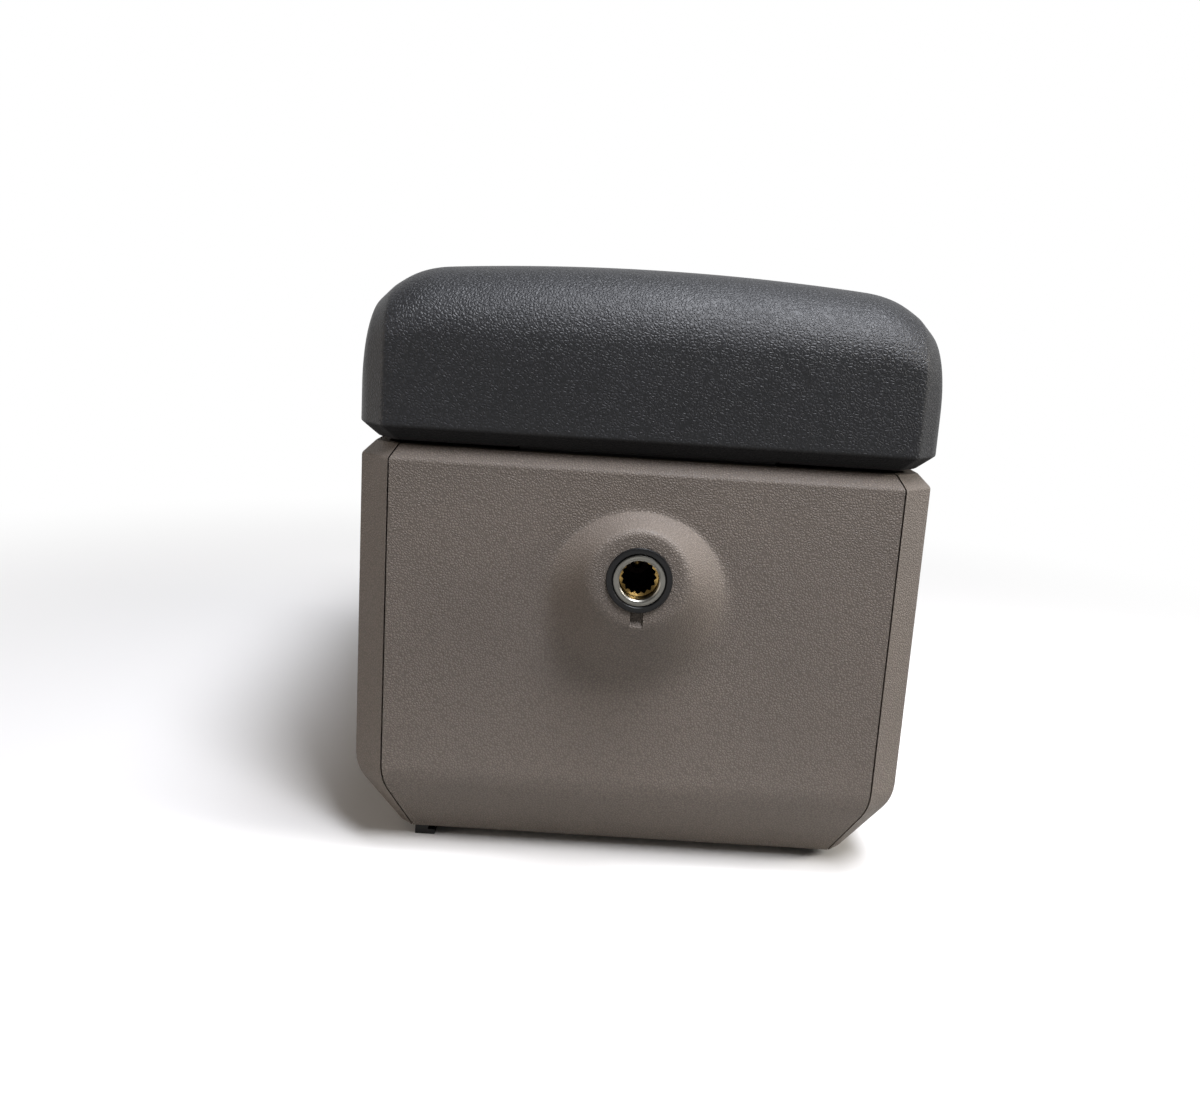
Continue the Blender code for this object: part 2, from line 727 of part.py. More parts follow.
def build_base_frame(material):
    """A foot flange, an upright web and a shelf that carries the bin, pressed as one ring."""
    shelf_top = BIN_FLOOR - WALL - FIT_GAP
    stations = (
        (FOOT_HALF_WIDTH, FOOT_INSET, 5 * MM, SHEET),
        (WEB_HALF_WIDTH + WEB_BEND, WEB_INSET - WEB_BEND, 11 * MM, SHEET),
        (WEB_HALF_WIDTH, WEB_INSET, 10 * MM, 2 * SHEET),
        (WEB_HALF_WIDTH - WEB_BEND, WEB_INSET + WEB_BEND, 9 * MM, shelf_top - SHEET),
        (WEB_HALF_WIDTH - 2 * WEB_BEND, WEB_INSET + 2 * WEB_BEND, 8 * MM, shelf_top),
        (WEB_HALF_WIDTH - SHELF_WIDTH, WEB_INSET + SHELF_WIDTH, 6 * MM, shelf_top),
    )
    rings = [
        rounded_rectangle(half, REAR + inset, FRONT - inset, radius, z, steps=3)
        for half, inset, radius, z in stations
    ]
    frame = loft("base_frame", rings, material, caps=(False, False))
    shell(frame, SHEET)
    strip_x = (TOE_X[0], -FOOT_HALF_WIDTH + TOE_STRIP)
    strip = box("toe_strip", strip_x, (REAR + TOE_REACH, REAR + TOE_STRIP_END), (0, SHEET))
    toe = box("toe_lip", TOE_X, (REAR + TOE_REACH, REAR + TOE_REACH + SHEET), (0, TOE_HEIGHT))
    join(frame, strip, toe)
    foot_places = end_feet(REAR, 1) + end_feet(FRONT, -1) + side_feet(-1) + side_feet(1)
    cut(frame, hole_tool("foot_holes", foot_places, -MM, 2 * SHEET))
    return cut(frame, hole_tool("shelf_holes", bin_screw_places(), shelf_top - 2 * SHEET, shelf_top + MM))


# Accessory socket


def build_socket(black, metal, phenolic, brass):
    face = -BOSS_PROUD
    mouth = (BOSS_X, REAR + face, BOSS_FACE_Z)
    gap = FIT_GAP
    sleeve_bore = SOCKET_BORE + SOCKET_WALL + gap
    cup = RIM_RADIUS + gap
    cup_depth = 0.4 * MM
    bezel = turned(
        "socket_bezel",
        [
            (cup + 0.6 * MM, BEZEL_PROUD),
            (BEZEL_RADIUS - 1.2 * MM, BEZEL_PROUD),
            (BEZEL_RADIUS - 0.4 * MM, BEZEL_PROUD - 0.3 * MM),
            (BEZEL_RADIUS, BEZEL_PROUD - 1 * MM),
            (BEZEL_RADIUS, gap),
            (SLEEVE_RADIUS, gap),
            (SLEEVE_RADIUS, -SLEEVE_DEPTH),
            (sleeve_bore, -SLEEVE_DEPTH),
            (sleeve_bore, -cup_depth),
            (cup, -cup_depth),
            (cup, BEZEL_PROUD - 0.8 * MM),
        ],
        mouth,
        black,
        FINE_SWEEP,
        True,
    )
    outer = SOCKET_BORE + SOCKET_WALL
    rim_low = gap - cup_depth
    rim_top = BEZEL_PROUD - 0.1 * MM
    barrel = turned(
        "socket_barrel",
        [
            (SOCKET_BORE, rim_top - 0.9 * MM),
            (SOCKET_BORE + 0.7 * MM, rim_top - 0.2 * MM),
            (SOCKET_BORE + 1.4 * MM, rim_top),
            (RIM_RADIUS - 0.9 * MM, rim_top),
            (RIM_RADIUS - 0.2 * MM, rim_top - 0.3 * MM),
            (RIM_RADIUS, rim_top - 0.9 * MM),
            (RIM_RADIUS, rim_low),
            (outer, rim_low),
            (outer, -SOCKET_DEPTH),
            (4.3 * MM, -SOCKET_DEPTH),
            (4.3 * MM, SOCKET_WALL - SOCKET_DEPTH),
            (SOCKET_BORE, SOCKET_WALL - SOCKET_DEPTH),
        ],
        mouth,
        metal,
        FINE_SWEEP,
        True,
    )
    nut_front = -BOSS_WALL - gap
    nut_back = nut_front - NUT_LENGTH
    retainer = turned(
        "socket_retainer",
        [
            (SLEEVE_RADIUS + gap, nut_front),
            (SLEEVE_RADIUS + 2.6 * MM, nut_front),
            (SLEEVE_RADIUS + 2.6 * MM, nut_front - NUT_FLANGE),
            (SLEEVE_RADIUS + 1.6 * MM, nut_front - NUT_FLANGE),
            (SLEEVE_RADIUS + 1.6 * MM, nut_back),
            (SLEEVE_RADIUS + gap, nut_back),
        ],
        mouth,
        black,
        SWEEP,
        True,
    )
    floor = SOCKET_WALL - SOCKET_DEPTH + gap
    insulator = turned(
        "socket_insulator",
        [
            (1.8 * MM, floor + 2 * MM),
            (7 * MM, floor + 2 * MM),
            (7 * MM, floor),
            (4 * MM, floor),
            (4 * MM, -SOCKET_DEPTH - 4 * MM),
            (1.8 * MM, -SOCKET_DEPTH - 4 * MM),
        ],
        mouth,
        phenolic,
        SWEEP,
        True,
    )
    contact = turned(
        "socket_contact",
        [
            (0, floor + 6 * MM),
            (2.2 * MM, floor + 5.6 * MM),
            (CONTACT_RADIUS, floor + 4.6 * MM),
            (CONTACT_RADIUS, floor + 2 * MM + gap),
            (1.5 * MM, floor + 2 * MM + gap),
            (1.5 * MM, -SOCKET_DEPTH - 12 * MM),
            (0, -SOCKET_DEPTH - 12 * MM),
        ],
        mouth,
        brass,
        SWEEP,
        True,
    )
    return bezel, barrel, retainer, insulator, contact


def build_ground_tab(metal):
    """Spade terminal clamped behind the socket's floor, beside the centre contact."""
    back = REAR - BOSS_PROUD + SOCKET_DEPTH + FIT_GAP
    form = bmesh.new()
    add_rod(form, (BOSS_X, back, BOSS_FACE_Z), (BOSS_X, back + TAB_THICKNESS, BOSS_FACE_Z), TAB_RADIUS)
    tab = finish("socket_ground_tab", form, metal)
    bottom = BOSS_FACE_Z - 8.4 * MM
    blade = box(
        "ground_blade",
        (BOSS_X - TAB_HALF_WIDTH, BOSS_X + TAB_HALF_WIDTH),
        (back, back + TAB_LENGTH),
        (bottom - TAB_THICKNESS, bottom),
    )
    hole = rod("ground_hole", (BOSS_X, back - MM, BOSS_FACE_Z), (BOSS_X, back + MM, BOSS_FACE_Z), 4.3 * MM)
    join(tab, blade)
    return cut(tab, hole)


# Screws and bumpers


def screw(name, place, head_seat, tip, material, up=1):
    """A pan-head screw: its head sits on head_seat and its shank runs to tip. up is -1 from below."""
    seat = FIT_GAP
    length = abs(head_seat - tip) + seat
    profile = [
        (0, seat + SCREW_HEAD_HEIGHT),
        (SCREW_HEAD_RADIUS * 0.7, seat + SCREW_HEAD_HEIGHT * 0.9),
        (SCREW_HEAD_RADIUS, seat + SCREW_HEAD_HEIGHT * 0.4),
        (SCREW_HEAD_RADIUS, seat),
        (SCREW_RADIUS, seat),
        (SCREW_RADIUS, seat - length + 1.5 * MM),
        (0, seat - length),
    ]
    made = turned(name, profile, (*place, head_seat), material, SCREW_SIDES)
    if up < 0:
        made.rotation_euler = (pi, 0, 0)
    return made


def build_bumper(name, place, material):
    top = LID_GAP + WALL
    profile = [
        (0, top),
        (BUMPER_RADIUS - 0.8 * MM, top),
        (BUMPER_RADIUS, top - 0.8 * MM),
        (BUMPER_RADIUS, FIT_GAP),
        (BUMPER_STEM, FIT_GAP),
        (BUMPER_STEM, -5 * MM),
        (0, -5.6 * MM),
    ]
    return turned(name, profile, (*place, FLANGE_TOP), material, 12)


# Hinge


def knuckle_spans(owner):
    """X spans of the knuckles that belong to the base leaf (0) or the lid leaf (1)."""
    pitch = 2 * HINGE_HALF_LENGTH / KNUCKLES
    starts = [-HINGE_HALF_LENGTH + number * pitch for number in range(KNUCKLES)]
    gap = FIT_GAP / 2
    return [(x + gap, x + pitch - gap) for number, x in enumerate(starts) if number % 2 == owner]


def leaf_outline(owner):
    """Section of a leaf as (y, z): flat on the lid, cranked down over the panel's lip on the body."""
    tab = (LID_TAB_TOP - LEAF, LID_TAB_TOP)
    if owner == 0:
        tab = (BASE_TAB_BOTTOM, BASE_TAB_BOTTOM + LEAF)
    start = HINGE_Y + KNUCKLE_RADIUS + KNUCKLE_CLEARANCE
    end = HINGE_Y + LEAF_REACH
    if owner == 1:
        return [(start, tab[0]), (end, tab[0]), (end, tab[1]), (start, tab[1])]
    seat = FLANGE_TOP + FIT_GAP
    crank = REAR + TOP_LIP + CRANK_GAP
    under = [(start, tab[0]), (crank, tab[0]), (crank, seat), (end, seat)]
    over = [(end, seat + LEAF), (crank + LEAF, seat + LEAF), (crank + LEAF, tab[1]), (start, tab[1])]
    return under + over


def build_leaf(name, owner, material):
    """A leaf, tabs that run tangent into its own knuckles, and the knuckles."""
    outline = leaf_outline(owner)
    start = outline[0][0]
    tab_z = (outline[0][1], outline[-1][1])
    ends = (-HINGE_HALF_LENGTH, HINGE_HALF_LENGTH)
    leaf = loft(name, [[(x, y, z) for y, z in outline] for x in ends], material)
    for number, across in enumerate(knuckle_spans(owner)):
        join(leaf, box(f"{name}_tab_{number}", across, (HINGE_Y, start + MM), tab_z))
        first, last = [(x, HINGE_Y, HINGE_Z) for x in across]
        join(leaf, rod(f"{name}_knuckle_{number}", first, last, KNUCKLE_RADIUS))
    pin_room = rod(
        f"{name}_pin_room",
        (-HINGE_HALF_LENGTH - MM, HINGE_Y, HINGE_Z),
        (HINGE_HALF_LENGTH + MM, HINGE_Y, HINGE_Z),
        HINGE_PIN_RADIUS + FIT_GAP,
    )
    heights = [z for _, z in outline]
    holes = hole_tool(f"{name}_holes", leaf_screw_places(owner), min(heights) - MM, max(heights) + MM)
    return cut(leaf, pin_room, holes)


def build_hinge_pin(material):
    return rod(
        "hinge_pin",
        (-HINGE_HALF_LENGTH, HINGE_Y, HINGE_Z),
        (HINGE_HALF_LENGTH, HINGE_Y, HINGE_Z),
        HINGE_PIN_RADIUS,
        material,
    )


# Lid


def lid_profile(inset, drop):
    """Rear foot, rear face, roll, crowned top, front roll and front face, as (y, z) pairs."""
    rear, front = REAR - LID_OVERHANG + inset, FRONT + LID_OVERHANG - inset
    top = LID_TOP - drop
    roll = LID_ROLL - 0.45 * drop
    steps = 7
    points = [(rear, LID_BOTTOM)]
    for step in range(steps + 1):
        angle = step * pi / 2 / steps
        points.append((rear + roll * (1 - cos(angle)), top - roll * (1 - sin(angle))))
    middle = (rear + front) / 2
    half = (front - rear) / 2 - roll
    for step in (-1, 0, 1):
        points.append((middle + half * step / 2, top + LID_CROWN_ALONG * (1 - (step / 2) ** 2)))
    for step in range(steps + 1):
        angle = (steps - step) * pi / 2 / steps
        points.append((front - roll * (1 - cos(angle)), top - roll * (1 - sin(angle))))
    points.append((front, LID_BOTTOM))
    return points


def lid_stations():
    """(x, inset, drop) for each section: crowned middle, shoulder, mitred facet, then the side face."""
    ends = [(LID_FACET_X + offset, 0, drop) for offset, drop in LID_SHOULDERS]
    shares = ((0.55, 0.62), (0.80, 1.0), (0.90, 1.35), (1.0, 2.3))
    for (out, inwards), drop in zip(shares, LID_SIDE_DROPS):
        ends.append((LID_FACET_X + out * LID_FACET, inwards * LID_FACET, drop))
    flat_half = ends[0][0] - LID_FACET
    middle = [(x * flat_half / 3, 0, 0) for x in range(-3, 4)]
    return [(-x, inset, drop) for x, inset, drop in reversed(ends)] + middle + ends


def crown(x, z):
    """Drop of the top surface towards the sides, faded out down the rear and front faces."""
    share = max(z - (LID_TOP - LID_ROLL), 0) / LID_ROLL
    return LID_CROWN_ACROSS * (min(abs(x), LID_FACET_X) / LID_FACET_X) ** 2 * min(share, 1)


def lid_form():
    rings = []
    for x, inset, drop in lid_stations():
        rings.append([(x, y, z - crown(x, z)) for y, z in lid_profile(inset, drop)])
    return rings


def lower_bevel_form():
    """An eight-sided funnel that gives the lid its lower bevel all round."""
    rings = []
    facet = LID_FACET
    slant = tan(radians(22.5))
    rise = LID_HEIGHT + 2 * LID_BEVEL
    for z, grow in ((LID_BOTTOM, -LID_BEVEL), (LID_BOTTOM + rise, rise - LID_BEVEL)):
        half_x = LID_HALF_WIDTH + grow
        half_y = BODY_LENGTH / 2 + LID_OVERHANG + grow
        middle = (REAR + FRONT) / 2
        notch = facet + grow * slant
        corners = [(half_x, half_y - notch), (half_x - notch, half_y)]
        corners += [(-x, y) for x, y in reversed(corners)]
        corners += [(x, -y) for x, y in reversed(corners)]
        rings.append([(x, middle + y, z) for x, y in corners])
    return rings


def build_pad(material):
    """The padded cover: skin and foam in one, hollow where the lid frame fills it."""
    pad = loft("armrest_pad", lid_form(), material)
    boolean(pad, loft("lower_bevel", lower_bevel_form()), "INTERSECT")
    cut(pad, loft("frame_room", frame_rings(FIT_GAP, LID_BOTTOM - MM)))
    panel_room = loft(
        "panel_room",
        [
            rounded_rectangle(
                PANEL_HALF_WIDTH + FIT_GAP,
                REAR + PANEL_INSET - FIT_GAP,
                FRONT - PANEL_INSET + FIT_GAP,
                PANEL_CORNER,
                z,
            )
            for z in (LID_BOTTOM - MM, FRAME_BOTTOM)
        ],
    )
    half = HINGE_HALF_LENGTH + MM
    leaf_room = box(
        "pad_leaf_room",
        (-half, half),
        (HINGE_Y, REAR + FRAME_INSET + MM),
        (LID_BOTTOM - MM, FRAME_BOTTOM + MM),
    )
    barrel_room = rod(
        "pad_barrel_room",
        (-half, HINGE_Y, HINGE_Z),
        (half, HINGE_Y, HINGE_Z),
        KNUCKLE_RADIUS + KNUCKLE_CLEARANCE,
    )
    paddle_half = PADDLE_HALF_WIDTH + 1.2 * MM
    paddle_room = box(
        "paddle_room",
        (-paddle_half, paddle_half),
        (FRONT - FRAME_INSET - MM, FRONT + 2 * LID_OVERHANG),
        (LID_BOTTOM - MM, PADDLE_TOP + 2.6 * MM),
    )
    lug_half = LUG_X[1] + MM
    lug_room = box(
        "lug_room",
        (-lug_half, lug_half),
        (FRONT - FRAME_INSET - MM, FRONT - LUG_INSET + MM),
        (LUG_Z[0] - MM, LUG_Z[1] + MM),
    )
    return cut(pad, panel_room, leaf_room, barrel_room, paddle_room, lug_room)


def frame_rings(grow, bottom):
    """Domed tray under the foam: straight walls, then a soft shoulder."""
    shoulder = ((22 * MM, 1 * MM), (9 * MM, 7 * MM), (0, 20 * MM))
    stations = [(bottom, 0)] + [(FRAME_TOP - drop, inset) for drop, inset in shoulder]
    rings = []
    for z, inset in stations:
        rings.append(
            rounded_rectangle(
                FRAME_HALF_WIDTH - inset + grow,
                REAR + FRAME_INSET + inset - grow,
                FRONT - FRAME_INSET - inset + grow,
                FRAME_CORNER,
                z + grow if z > bottom else z,
                steps=3,
            )
        )
    return rings


def panel_screw_places():
    return places_both_sides(PANEL_SCREW_X, PANEL_SCREW_INSET, PANEL_SCREW_INSET)


def build_lid_frame(material):
    """Moulded tray with screw towers and the two lugs that hold the latch's pin."""
    frame = loft("lid_frame", frame_rings(0, FRAME_BOTTOM), material, caps=(False, True))
    shell(frame, WALL)
    for number, (x, y) in enumerate(panel_screw_places()):
        foot, head = (x, y, FRAME_BOTTOM), (x, y, FRAME_TOP - WALL / 2)
        join(frame, rod(f"tower_{number}", foot, head, TOWER_RADII[0], sides=10, end_radius=TOWER_RADII[1]))
    for number, (x, y) in enumerate(leaf_screw_places(1)):
        across = (x - LEAF_BLOCK, x + LEAF_BLOCK)
        along = (REAR + FRAME_INSET + WALL / 2, y + LEAF_BLOCK)
        join(frame, box(f"leaf_block_{number}", across, along, (FRAME_BOTTOM, LEAF_BLOCK_TOP)))
    pilot_places = panel_screw_places() + leaf_screw_places(1)
    pilots = hole_tool("pilot_holes", pilot_places, FRAME_BOTTOM - MM, FRAME_BOTTOM + LONG_SCREW)
    cut(frame, pilots)
    arm_half = ARM_HALF_WIDTH + 2 * MM
    arm_room = box(
        "arm_room",
        (-arm_half, arm_half),
        (FRONT - FRAME_INSET - 2 * WALL, FRONT),
        (FRAME_BOTTOM - MM, LATCH_Z + 8 * MM),
    )
    cut(frame, arm_room)
    for side in (-1, 1):
        lug = box(
            f"lug_{side}",
            span(side * LUG_X[0], side * LUG_X[1]),
            (FRONT - FRAME_INSET - WALL / 2, FRONT - LUG_INSET),
            LUG_Z,
        )
        join(frame, lug)
    reach = LUG_X[1] + MM
    pin_room = rod(
        "latch_pin_room", (-reach, LATCH_Y, LATCH_Z), (reach, LATCH_Y, LATCH_Z), LATCH_PIN_RADIUS + FIT_GAP
    )
    return cut(frame, pin_room)


def build_inner_panel(material):
    """Liner of the lid, seen when it is open: a flat border round a raised field."""
    low, high = REAR + PANEL_INSET, FRONT - PANEL_INSET
    outer = rounded_rectangle(PANEL_HALF_WIDTH, low, high, PANEL_CORNER, LID_BOTTOM)
    inset = PANEL_BORDER
    edge = rounded_rectangle(PANEL_HALF_WIDTH - inset, low + inset, high - inset, PANEL_CORNER, LID_BOTTOM)
    inset += PANEL_STEP
    field = (PANEL_HALF_WIDTH - inset, low + inset, high - inset, PANEL_FIELD_CORNER)
    top = rounded_rectangle(*field, LID_BOTTOM + PANEL_RISE)
    panel = loft("lid_inner_panel", [outer, edge, top], material, caps=(False, True))
    shell(panel, PANEL_THICKNESS, outwards=True)
    half = HINGE_HALF_LENGTH + 2 * MM
    leaf_room = box(
        "panel_leaf_room",
        (-half, half),
        (low - MM, HINGE_Y + LEAF_REACH + MM),
        (LID_BOTTOM - MM, PANEL_TOP + MM),
    )
    hook_half = HOOK_HALF_WIDTH + MM
    hook_room = box(
        "panel_hook_room",
        (-hook_half, hook_half),
        (HOOK_Y[0] - MM, HOOK_Y[1] + 8 * MM),
        (LID_BOTTOM - MM, PANEL_TOP + MM),
    )
    holes = hole_tool("panel_holes", panel_screw_places(), LID_BOTTOM - MM, PANEL_TOP + MM)
    return cut(panel, leaf_room, hook_room, holes)


# Latch


def build_paddle(material):
    """One moulding: finger plate, hub, arm through the frame's window, hook and barb."""
    plate_front = FRONT + LID_OVERHANG - 0.8 * MM
    plate = box(
        "latch_paddle",
        (-PADDLE_HALF_WIDTH, PADDLE_HALF_WIDTH),
        (plate_front - PADDLE_THICKNESS, plate_front),
        (PADDLE_BOTTOM, PADDLE_TOP),
        material,
    )
    ends = [(x, LATCH_Y, LATCH_Z) for x in (-PADDLE_HALF_WIDTH, PADDLE_HALF_WIDTH)]
    hub = rod("paddle_hub", *ends, PADDLE_HUB)
    web = box(
        "paddle_web",
        (-PADDLE_HALF_WIDTH + MM, PADDLE_HALF_WIDTH - MM),
        (LATCH_Y, plate_front - MM),
        (LATCH_Z - 2.4 * MM, LATCH_Z + 2 * MM),
    )
    arm = box("paddle_arm", (-ARM_HALF_WIDTH, ARM_HALF_WIDTH), (HOOK_Y[0], LATCH_Y - MM), ARM_Z)
    barb_top = FLANGE_TOP - 0.2 * MM
    hook_bottom = barb_top - BARB_HEIGHT
    outline = [
        (HOOK_Y[1], ARM_Z[0] + MM),
        (HOOK_Y[0] + 0.4 * MM, ARM_Z[0] + MM),
        (HOOK_Y[0] + 0.4 * MM, barb_top),
        (HOOK_Y[0] - BARB_REACH, barb_top),
        (HOOK_Y[0] - BARB_REACH, barb_top - 0.8 * MM),
        (HOOK_Y[0] + 0.4 * MM, hook_bottom - MM),
        (HOOK_Y[1], hook_bottom - MM),
    ]
    sides = (-HOOK_HALF_WIDTH, HOOK_HALF_WIDTH)
    hook = loft("paddle_hook", [[(x, y, z) for y, z in outline] for x in sides])
    pull = rod(
        "paddle_pull",
        (-PADDLE_HALF_WIDTH + 0.5 * MM, plate_front - 1.8 * MM, PADDLE_BOTTOM + 1.2 * MM),
        (PADDLE_HALF_WIDTH - 0.5 * MM, plate_front - 1.8 * MM, PADDLE_BOTTOM + 1.2 * MM),
        2.4 * MM,
        sides=12,
    )
    join(plate, hub, web, arm, hook, pull)
    reach = PADDLE_HALF_WIDTH + MM
    pin_room = rod(
        "paddle_pin_room", (-reach, LATCH_Y, LATCH_Z), (reach, LATCH_Y, LATCH_Z), LATCH_PIN_RADIUS + FIT_GAP
    )
    return cut(plate, pin_room)


def build_latch_pin(material):
    reach = LUG_X[1]
    return rod("latch_pin", (-reach, LATCH_Y, LATCH_Z), (reach, LATCH_Y, LATCH_Z), LATCH_PIN_RADIUS, material)


def build_spring(material):
    """Closed-end compression spring between the inner panel and the paddle's arm."""
    low = PANEL_TOP + FIT_GAP + SPRING_WIRE
    high = ARM_Z[0] - FIT_GAP - SPRING_WIRE
    per_turn = 8
    count = SPRING_TURNS * per_turn
    curve = bpy.data.curves.new("latch_spring", "CURVE")
    curve.dimensions = "3D"
    curve.bevel_depth = SPRING_WIRE
    curve.bevel_resolution = 1
    curve.use_fill_caps = True
    spline = curve.splines.new("POLY")
    spline.points.add(count)
    for number, point in enumerate(spline.points):
        angle = 2 * pi * number / per_turn
        z = low + (high - low) * number / count
        point.co = (
            SPRING_X + SPRING_RADIUS * cos(angle),
            SPRING_Y + SPRING_RADIUS * sin(angle),
            z,
            1,
        )
    curve.materials.append(material)
    spring = bpy.data.objects.new("latch_spring", curve)
    PARTS.objects.link(spring)
    return spring


def build_striker(material):
    low = FLANGE_TOP + FIT_GAP
    across = (-STRIKER_HALF_WIDTH, STRIKER_HALF_WIDTH)
    plate = box("latch_striker", across, STRIKER_Y, (low, low + STRIKER_THICKNESS), material)
    window = box(
        "striker_window",
        (-STRIKER_WINDOW_HALF, STRIKER_WINDOW_HALF),
        STRIKER_WINDOW_Y,
        (low - MM, low + 2 * STRIKER_THICKNESS),
    )
    holes = hole_tool("striker_plate_holes", striker_screw_places(), low - MM, low + 2 * STRIKER_THICKNESS)
    return cut(plate, window, holes)


# The whole object


def build():
    taupe = new_material("grained taupe plastic", TAUPE, 0.6)
    skin = new_material("charcoal vinyl", CHARCOAL, 0.5)
    dark = new_material("dark plastic", BLACK, 0.45)
    gloss = new_material("glossy black plastic", BLACK, 0.2)
    painted = new_material("black painted steel", BLACK, 0.5)
    zinc = new_material("zinc steel", STEEL, 0.35, 1.0)
    nickel = new_material("nickel plate", NICKEL, 0.25, 1.0)
    brass = new_material("brass", BRASS, 0.3, 1.0)
    phenolic = new_material("brown phenolic", BROWN, 0.6)
    rubber = new_material("black rubber", BLACK, 0.8)

    build_rear_panel(taupe)
    build_front_panel(taupe)
    build_side_panel("left_side_panel", -1, taupe)
    build_side_panel("right_side_panel", 1, taupe)
    build_bin(dark)
    build_mat(rubber)
    build_base_frame(painted)
    build_socket(gloss, nickel, phenolic, brass)
    build_ground_tab(zinc)

    lip_top = BODY_BOTTOM + LIP_LIFT + WALL
    foot_places = end_feet(REAR, 1) + end_feet(FRONT, -1) + side_feet(-1) + side_feet(1)
    for number, place in enumerate(foot_places, 1):
        screw(f"panel_screw_{number}", place, lip_top, 0.4 * MM, zinc)
    for number, place in enumerate(bin_screw_places(), 1):
        screw(f"bin_screw_{number}", place, BIN_FLOOR, BIN_FLOOR - MIDDLE_SCREW, zinc)
    for number, place in enumerate(bumper_places(), 1):
        build_bumper(f"lid_bumper_{number}", place, rubber)

    build_leaf("hinge_base_leaf", 0, painted)
    build_hinge_pin(zinc)
    leaf_top = FLANGE_TOP + FIT_GAP + LEAF
    for number, place in enumerate(leaf_screw_places(0), 1):
        screw(f"hinge_base_screw_{number}", place, leaf_top, leaf_top - MIDDLE_SCREW, zinc)
    build_striker(zinc)
    striker_top = FLANGE_TOP + FIT_GAP + STRIKER_THICKNESS
    for number, place in enumerate(striker_screw_places(), 1):
        screw(f"striker_screw_{number}", place, striker_top, striker_top - SHORT_SCREW, zinc)

    lid_axis = axis_empty("lid_hinge_axis", (0, HINGE_Y, HINGE_Z))
    latch_axis = axis_empty("latch_axis", (0, LATCH_Y, LATCH_Z))
    lid_leaf = build_leaf("hinge_lid_leaf", 1, painted)
    leaf_bottom = LID_TAB_TOP - LEAF
    lid_screws = [
        screw(f"hinge_lid_screw_{number}", place, leaf_bottom, leaf_bottom + MIDDLE_SCREW, zinc, up=-1)
        for number, place in enumerate(leaf_screw_places(1), 1)
    ]
    lid_screws += [
        screw(f"inner_panel_screw_{number}", place, LID_BOTTOM, LID_BOTTOM + LONG_SCREW, zinc, up=-1)
        for number, place in enumerate(panel_screw_places(), 1)
    ]
    carry(
        lid_axis,
        build_pad(skin),
        build_lid_frame(dark),
        build_inner_panel(dark),
        lid_leaf,
        build_latch_pin(zinc),
        build_spring(zinc),
        *lid_screws,
        latch_axis,
    )
    carry(latch_axis, build_paddle(dark))


build()
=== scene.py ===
# %% [markdown]
# # A console box with a padded armrest lid
#
# This lesson dresses a finished solid model of the rear end of a vehicle's centre console. The
# solids arrive as a fixed frame: each one stays where it is, and we add finishes, softer edges and
# the padded cover that a solid modeller leaves plain. The frame is loaded first, because every
# later step reads its sizes.

# %% Load the frame
import json
from math import cos, pi, radians, sin

import bpy
from mathutils import Matrix, Vector


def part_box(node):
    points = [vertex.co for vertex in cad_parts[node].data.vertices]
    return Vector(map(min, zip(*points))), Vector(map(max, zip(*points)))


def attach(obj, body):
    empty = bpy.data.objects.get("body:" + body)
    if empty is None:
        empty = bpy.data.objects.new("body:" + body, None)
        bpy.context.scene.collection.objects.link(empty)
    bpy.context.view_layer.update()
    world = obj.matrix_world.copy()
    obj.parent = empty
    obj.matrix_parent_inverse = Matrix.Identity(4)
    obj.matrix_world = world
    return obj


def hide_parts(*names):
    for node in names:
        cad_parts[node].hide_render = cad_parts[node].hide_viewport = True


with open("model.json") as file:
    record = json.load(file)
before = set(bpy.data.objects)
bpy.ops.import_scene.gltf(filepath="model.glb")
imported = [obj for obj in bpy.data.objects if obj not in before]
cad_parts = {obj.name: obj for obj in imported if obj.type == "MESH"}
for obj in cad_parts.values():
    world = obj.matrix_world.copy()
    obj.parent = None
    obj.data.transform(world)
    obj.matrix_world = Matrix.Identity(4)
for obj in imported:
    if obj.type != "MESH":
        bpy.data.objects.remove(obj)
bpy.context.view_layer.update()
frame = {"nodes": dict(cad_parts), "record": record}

MM = 0.001
scene = bpy.context.scene
print("solids loaded:", len(frame["nodes"]))

# %% [markdown]
# ## Two small tools for materials
#
# Paint and plastic colours are easiest to judge as the hex values that a picture shows, but a
# renderer works with linear light, so one function converts them. Node trees are long to write
# by hand: a second function adds one node with its settings and its links, and nothing more.


# %% Colour and node helpers
def tone(hex_value):
    """Linear colour of an sRGB hex value such as 7d736a."""
    channels = [int(hex_value[i : i + 2], 16) / 255 for i in (0, 2, 4)]
    linear = [c / 12.92 if c <= 0.04045 else ((c + 0.055) / 1.055) ** 2.4 for c in channels]
    return (*linear, 1)


def add_node(tree, kind, sockets=None, **settings):
    """Adds a node. A socket takes a plain value, or another node's output to link to."""
    node = tree.nodes.new(kind)
    for name, value in settings.items():
        setattr(node, name, value)
    for name, value in (sockets or {}).items():
        if isinstance(value, bpy.types.NodeSocket):
            tree.links.new(value, node.inputs[name])
        else:
            node.inputs[name].default_value = value
    return node


def new_material(name):
    """An empty material with an output, its tree, and its Principled shader."""
    material = bpy.data.materials.new(name)
    material.use_nodes = True
    tree = material.node_tree
    return material, tree, tree.nodes["Principled BSDF"]


def per(size_mm):
    """Texture scale that makes one feature as wide as a real size in millimetres."""
    return 1 / (size_mm * MM)


print("mid grey 808080 in linear light:", round(tone("808080")[0], 3))

